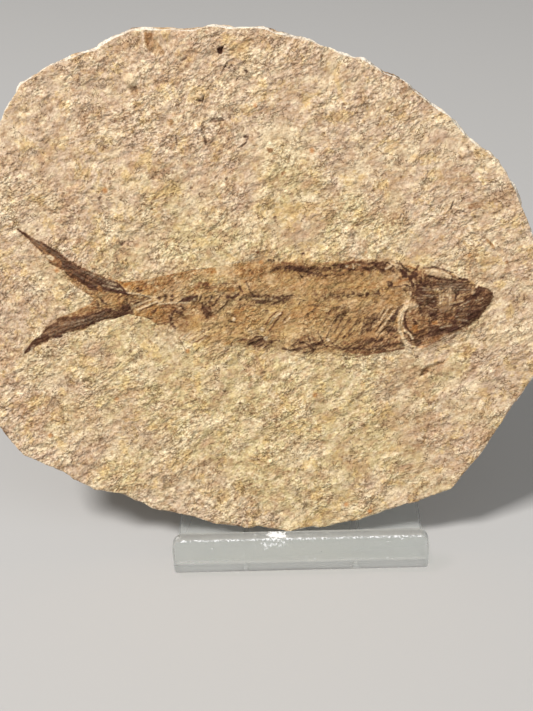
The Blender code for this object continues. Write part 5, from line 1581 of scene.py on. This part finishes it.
class FOSSIL_OT_cut_stone(Operator):
    """Cut the stone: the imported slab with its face, back and edges broken out"""
    bl_idname = "fossil.cut_stone"
    bl_label = "Cut the stone"

    def execute(self, context):
        stone = context.scene.fossil_stone
        slab = copy_of("slab", "stone_slab")
        slab.data.transform(BED.inverted())
        close_seat(slab)
        apply_modifier(slab, "REMESH", mode="VOXEL", voxel_size=stone.mesh_size,
                       use_smooth_shade=True)
        self.refine_marks(slab)
        self.break_surface(slab, stone)
        self.thin_back(slab)
        slab.data.transform(BED)
        slab.data.materials.clear()
        slab.data.materials.append(stone_material("limestone", stone, context.scene.fossil_fish))
        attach(slab, BODY)
        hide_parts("slab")
        return {"FINISHED"}

    def refine_marks(self, slab):
        """Divide the mesh finely round each pit and crack."""
        points = read_points(slab.data) / MM
        marks = Drawing(points[:, :2])
        draw_marks(marks)
        marked = marks.touched & (points[:, 2] > MARKS_ABOVE)
        wanted = [bool(marked[list(face.vertices)].any()) for face in slab.data.polygons]
        select_faces(slab, wanted)
        bpy.ops.mesh.subdivide(number_cuts=2)
        bpy.ops.mesh.select_all(action="DESELECT")
        bpy.ops.object.mode_set(mode="OBJECT")

    def break_surface(self, slab, stone):
        """Roughen the split face, the back and the broken edge, and stain them."""
        points = read_points(slab.data) / MM
        normals = read_normals(slab.data)
        places = points[:, :2]
        facing = smooth(normals[:, 2], *LEVEL) * smooth(points[:, 2], *FACE_BAND)
        behind = smooth(-normals[:, 2], *LEVEL) * smooth(points[:, 2], *BACK_BAND)
        side = np.clip(1.0 - facing - behind, 0.0, 1.0)

        drawing = Drawing(places)
        draw_marks(drawing)
        reach = to_outline(*places.T, FISH_OUTLINE)
        pocket = POCKET_DEPTH * (1.0 - smooth(reach, 0.0, PATCH_MARGIN - 0.6))
        front = bed_height(places, stone.relief) + drawing.lift - pocket
        points[:, 2] += facing * (front - points[:, 2])

        points[:, 2] += behind * stone.relief * back_hollows(points)
        bite = side * stone.edge_bite / MM * edge_layers(points)
        points -= normals * bite[:, None]
        write_points(slab.data, points * MM)

        # pale new stone, and a painted highlight along the top of the rim
        write_mask(slab.data, "rim_and_highlight", broken_rim_and_highlight(points, normals, side))
        for name, values in drawing.stains.items():
            write_mask(slab.data, name, values * facing)

    def thin_back(self, slab):
        """Spend fewer faces on the back than on the split face."""
        group = slab.vertex_groups.new(name="back")
        points = read_points(slab.data) / MM
        behind = np.nonzero(points[:, 2] < THINNED_BELOW)[0]
        group.add(behind.tolist(), 1.0, "REPLACE")
        apply_modifier(slab, "TRIANGULATE")
        share = min(1.0, SLAB_FACES / len(slab.data.polygons))
        apply_modifier(slab, "DECIMATE", ratio=share, vertex_group="back",
                       use_collapse_triangulate=True)
        slab.vertex_groups.clear()
        bpy.ops.object.shade_smooth()


# ---- the fish -----------------------------------------------------------

FISH_PARTS = (
    draw_flesh, draw_tail_upper, draw_tail_fork, draw_tail_lower, draw_root_of_tail, draw_spine,
    draw_scutes_of_back, draw_ray_bones, draw_ribs, draw_scutes_of_belly, draw_anal_fin,
    draw_nape, draw_skull, draw_eye, draw_snout, draw_jaw, draw_gill_cover, draw_shoulder_arch,
)


def body_relief(x, up):
    """How far the flattened body stands above the bedding surface, in millimetres."""
    inside = 1.0 - smooth(to_outline(x, up, FISH_OUTLINE), -1.1, 0.1)
    head = smooth(x, 21.0, 31.0)
    gap, _ = to_line(x, up, SPINE)
    ridge = np.exp(-(gap / 1.6) ** 2)
    return inside * (0.10 + 0.26 * head + 0.12 * ridge)


class FOSSIL_OT_lay_fish(Operator):
    """Lay the fish: the patch of stone it is pressed in, with its bones and stains"""
    bl_idname = "fossil.lay_fish"
    bl_label = "Lay the fish"

    def execute(self, context):
        fish = context.scene.fossil_fish
        patch = self.make_patch(fish.mesh_size / MM)
        places = read_points(patch.data)[:, :2] / MM
        reach = to_outline(*places.T, FISH_OUTLINE)
        drawing = Drawing(places)
        for draw in FISH_PARTS:
            draw(drawing)
        draw_marks(drawing)
        level = bed_height(places, context.scene.fossil_stone.relief)
        level += fish.relief * (body_relief(*places.T) + drawing.lift)
        level += PATCH_LIFT
        level -= PATCH_DIP * smooth(reach, PATCH_MARGIN - 0.55, PATCH_MARGIN - 0.15)
        write_points(patch.data, np.column_stack((places, level)) * MM)
        write_mask(patch.data, "rim_and_highlight", np.zeros(len(places)))
        for name, values in drawing.stains.items():
            write_mask(patch.data, name, values)
        self.close_underside(patch)
        patch.data.transform(BED)
        surface = stone_material("fossil_bone", context.scene.fossil_stone, fish)
        patch.data.materials.append(surface)
        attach(patch, BODY)
        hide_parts("fish")
        return {"FINISHED"}

    def make_patch(self, step):
        """A level square mesh that reaches a little way past the outline of the fish."""
        width = PATCH_HIGH[0] - PATCH_LOW[0]
        height = PATCH_HIGH[1] - PATCH_LOW[1]
        middle = ((PATCH_HIGH[0] + PATCH_LOW[0]) / 2, (PATCH_HIGH[1] + PATCH_LOW[1]) / 2)
        bpy.ops.object.select_all(action="DESELECT")
        bpy.ops.mesh.primitive_grid_add(
            x_subdivisions=round(width / step), y_subdivisions=round(height / step),
            size=width * MM, location=(middle[0] * MM, middle[1] * MM, 0.0))
        patch = bpy.context.object
        patch.scale.y = height / width
        patch.name = "fossil_fish"
        patch.data.name = "fossil_fish"
        bpy.ops.object.transform_apply(location=True, rotation=True, scale=True)
        places = read_points(patch.data)[:, :2] / MM
        far = to_outline(*places.T, FISH_OUTLINE) > PATCH_MARGIN
        corners = np.empty(len(patch.data.loops), np.int32)
        patch.data.loops.foreach_get("vertex_index", corners)
        select_faces(patch, far[corners].reshape(-1, 4).any(axis=1))
        bpy.ops.mesh.delete(type="FACE")
        bpy.ops.object.mode_set(mode="OBJECT")
        return patch

    def close_underside(self, patch):
        """Draw the rim down to a level underside and close it with one face."""
        only(patch)
        bpy.ops.object.shade_smooth()
        bpy.context.tool_settings.mesh_select_mode = (False, True, False)
        bpy.ops.object.mode_set(mode="EDIT")
        bpy.ops.mesh.select_all(action="DESELECT")
        bpy.ops.mesh.select_non_manifold()
        bpy.ops.mesh.extrude_region_move(
            TRANSFORM_OT_translate={"value": (0.0, 0.0, PATCH_UNDERSIDE * MM)})
        bpy.ops.transform.resize(value=(1.0, 1.0, 0.0),
                                 center_override=(0.0, 0.0, PATCH_UNDERSIDE * MM))
        bpy.ops.mesh.edge_face_add()
        bpy.ops.mesh.quads_convert_to_tris(quad_method="BEAUTY", ngon_method="BEAUTY")
        bpy.ops.object.mode_set(mode="OBJECT")


# ---- the stand ----------------------------------------------------------

class FOSSIL_OT_bend_stand(Operator):
    """Finish the bent clear stand: polished bends, sawn edges and a chipped lip"""
    bl_idname = "fossil.bend_stand"
    bl_label = "Finish the stand"

    def execute(self, context):
        stand = copy_of("stand", "clear_stand")
        bpy.ops.object.mode_set(mode="EDIT")
        bpy.ops.mesh.select_all(action="SELECT")
        bpy.ops.mesh.dissolve_limited(angle_limit=math.radians(0.5))
        bpy.ops.object.mode_set(mode="OBJECT")
        apply_modifier(stand, "BEVEL", width=EDGE_BEVEL * MM, segments=2,
                       limit_method="ANGLE", angle_limit=math.radians(50.0))
        bpy.ops.object.shade_smooth_by_angle(angle=math.radians(35.0))
        self.mark_edges(stand)
        stand.data.materials.clear()
        stand.data.materials.append(acrylic_material(context.scene.fossil_stand))
        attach(stand, BODY)
        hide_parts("stand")
        return {"FINISHED"}

    def mark_edges(self, stand):
        """Mark the sawn edges of the sheet, which are duller than its two faces."""
        cut = np.zeros(len(stand.data.vertices))
        for face in stand.data.polygons:
            sideways = abs(face.normal.x) > 0.6
            upper = face.normal.z > 0.8 and face.center.z > (LIP_TOP - 0.5) * MM
            if sideways or upper:
                cut[list(face.vertices)] = 1.0
        write_mask(stand.data, "cut", cut)


# ---- the stage ----------------------------------------------------------

CAMERA_PLACE = Vector((-0.39, -230.62, 197.52)) * MM
CAMERA_DOWN = 31.072               # degrees below level
CAMERA_YAW = 1.573
CAMERA_ROLL = -2.385
CAMERA_LENS = 58.23
FILM_SIZE = 36.0                   # millimetres, along its longer side
LIGHT_TARGET = (-9.5, 62.0, 0.0)   # the middle of the slab, in its own plane
# Place, size and colour of each light.
KEY_LIGHT = ((-1.00, -0.64, 1.70), 0.42, (1.0, 0.975, 0.955))
SKY_LIGHT = ((0.85, -0.75, 0.70), 0.9, (0.94, 0.97, 1.0))
SKY_SHARE = 0.11                   # of the key light's power
FILL_COLOUR = (1.0, 0.99, 0.97, 1.0)
FLOOR_SIZE = 8.0


class FOSSIL_OT_set_stage(Operator):
    """Set the stage: a plain pale floor, soft lights and the camera"""
    bl_idname = "fossil.set_stage"
    bl_label = "Set the stage"

    def execute(self, context):
        stage = context.scene.fossil_stage
        bpy.ops.object.select_all(action="DESELECT")
        bpy.ops.mesh.primitive_plane_add(size=FLOOR_SIZE, location=(0.0, 0.0, 0.0))
        floor = context.object
        floor.name = "floor"
        floor.data.materials.append(floor_material(stage))
        self.hang_light("key", stage.key, *KEY_LIGHT)
        self.hang_light("sky", stage.key * SKY_SHARE, *SKY_LIGHT)
        context.scene.view_settings.view_transform = "Standard"
        world = bpy.data.worlds.new("studio")
        world.use_nodes = True
        fill = world.node_tree.nodes["Background"]
        fill.inputs["Color"].default_value = FILL_COLOUR
        fill.inputs["Strength"].default_value = stage.fill
        context.scene.world = world
        self.place_camera(context)
        return {"FINISHED"}

    def hang_light(self, name, power, place, size, colour):
        """A square soft light that looks at the middle of the slab."""
        target = BED @ (Vector(LIGHT_TARGET) * MM)
        aim = (target - Vector(place)).to_track_quat("-Z", "Y").to_euler()
        bpy.ops.object.light_add(type="AREA", location=place, rotation=aim)
        light = bpy.context.object
        light.name = name
        light.data.size = size
        light.data.energy = power
        light.data.color = colour

    def place_camera(self, context):
        """The camera looks down at the front of the slab."""
        turn = (Matrix.Rotation(math.radians(CAMERA_YAW), 4, "Z")
                @ Matrix.Rotation(math.radians(90.0 - CAMERA_DOWN), 4, "X")
                @ Matrix.Rotation(math.radians(CAMERA_ROLL), 4, "Z"))
        bpy.ops.object.camera_add()
        camera = context.object
        camera.name = "camera"
        camera.matrix_world = Matrix.Translation(CAMERA_PLACE) @ turn
        camera.data.lens = CAMERA_LENS
        camera.data.sensor_width = FILM_SIZE
        camera.data.clip_start = 0.01
        context.scene.camera = camera


# ---- panel and registration ---------------------------------------------

class FOSSIL_PT_bench(Panel):
    """Lists the pieces in the order in which they are made"""
    bl_idname = "FOSSIL_PT_bench"
    bl_label = "Fossil fish slab"
    bl_space_type = "VIEW_3D"
    bl_region_type = "UI"
    bl_category = "Fossil"

    def draw(self, context):
        layout = self.layout
        for settings, operator, _ in PIECES:
            box = layout.box()
            holder = getattr(context.scene, settings)
            for name in holder.__annotations__:
                box.prop(holder, name)
            box.operator(operator)


PIECES = (
    ("fossil_stone", "fossil.cut_stone", StoneSettings),
    ("fossil_fish", "fossil.lay_fish", FishSettings),
    ("fossil_stand", "fossil.bend_stand", StandSettings),
    ("fossil_stage", "fossil.set_stage", StageSettings),
)
CLASSES = (
    StoneSettings, FishSettings, StandSettings, StageSettings,
    FOSSIL_OT_cut_stone, FOSSIL_OT_lay_fish, FOSSIL_OT_bend_stand, FOSSIL_OT_set_stage,
    FOSSIL_PT_bench,
)


def register():
    for kind in CLASSES:
        bpy.utils.register_class(kind)
    for settings, _, kind in PIECES:
        setattr(bpy.types.Scene, settings, PointerProperty(type=kind))


def unregister():
    for settings, _, _ in PIECES:
        delattr(bpy.types.Scene, settings)
    for kind in reversed(CLASSES):
        bpy.utils.unregister_class(kind)


def main():
    register()
    bpy.ops.fossil.cut_stone()
    bpy.ops.fossil.lay_fish()
    bpy.ops.fossil.bend_stand()
    bpy.ops.fossil.set_stage()


if __name__ == "__main__":
    main()
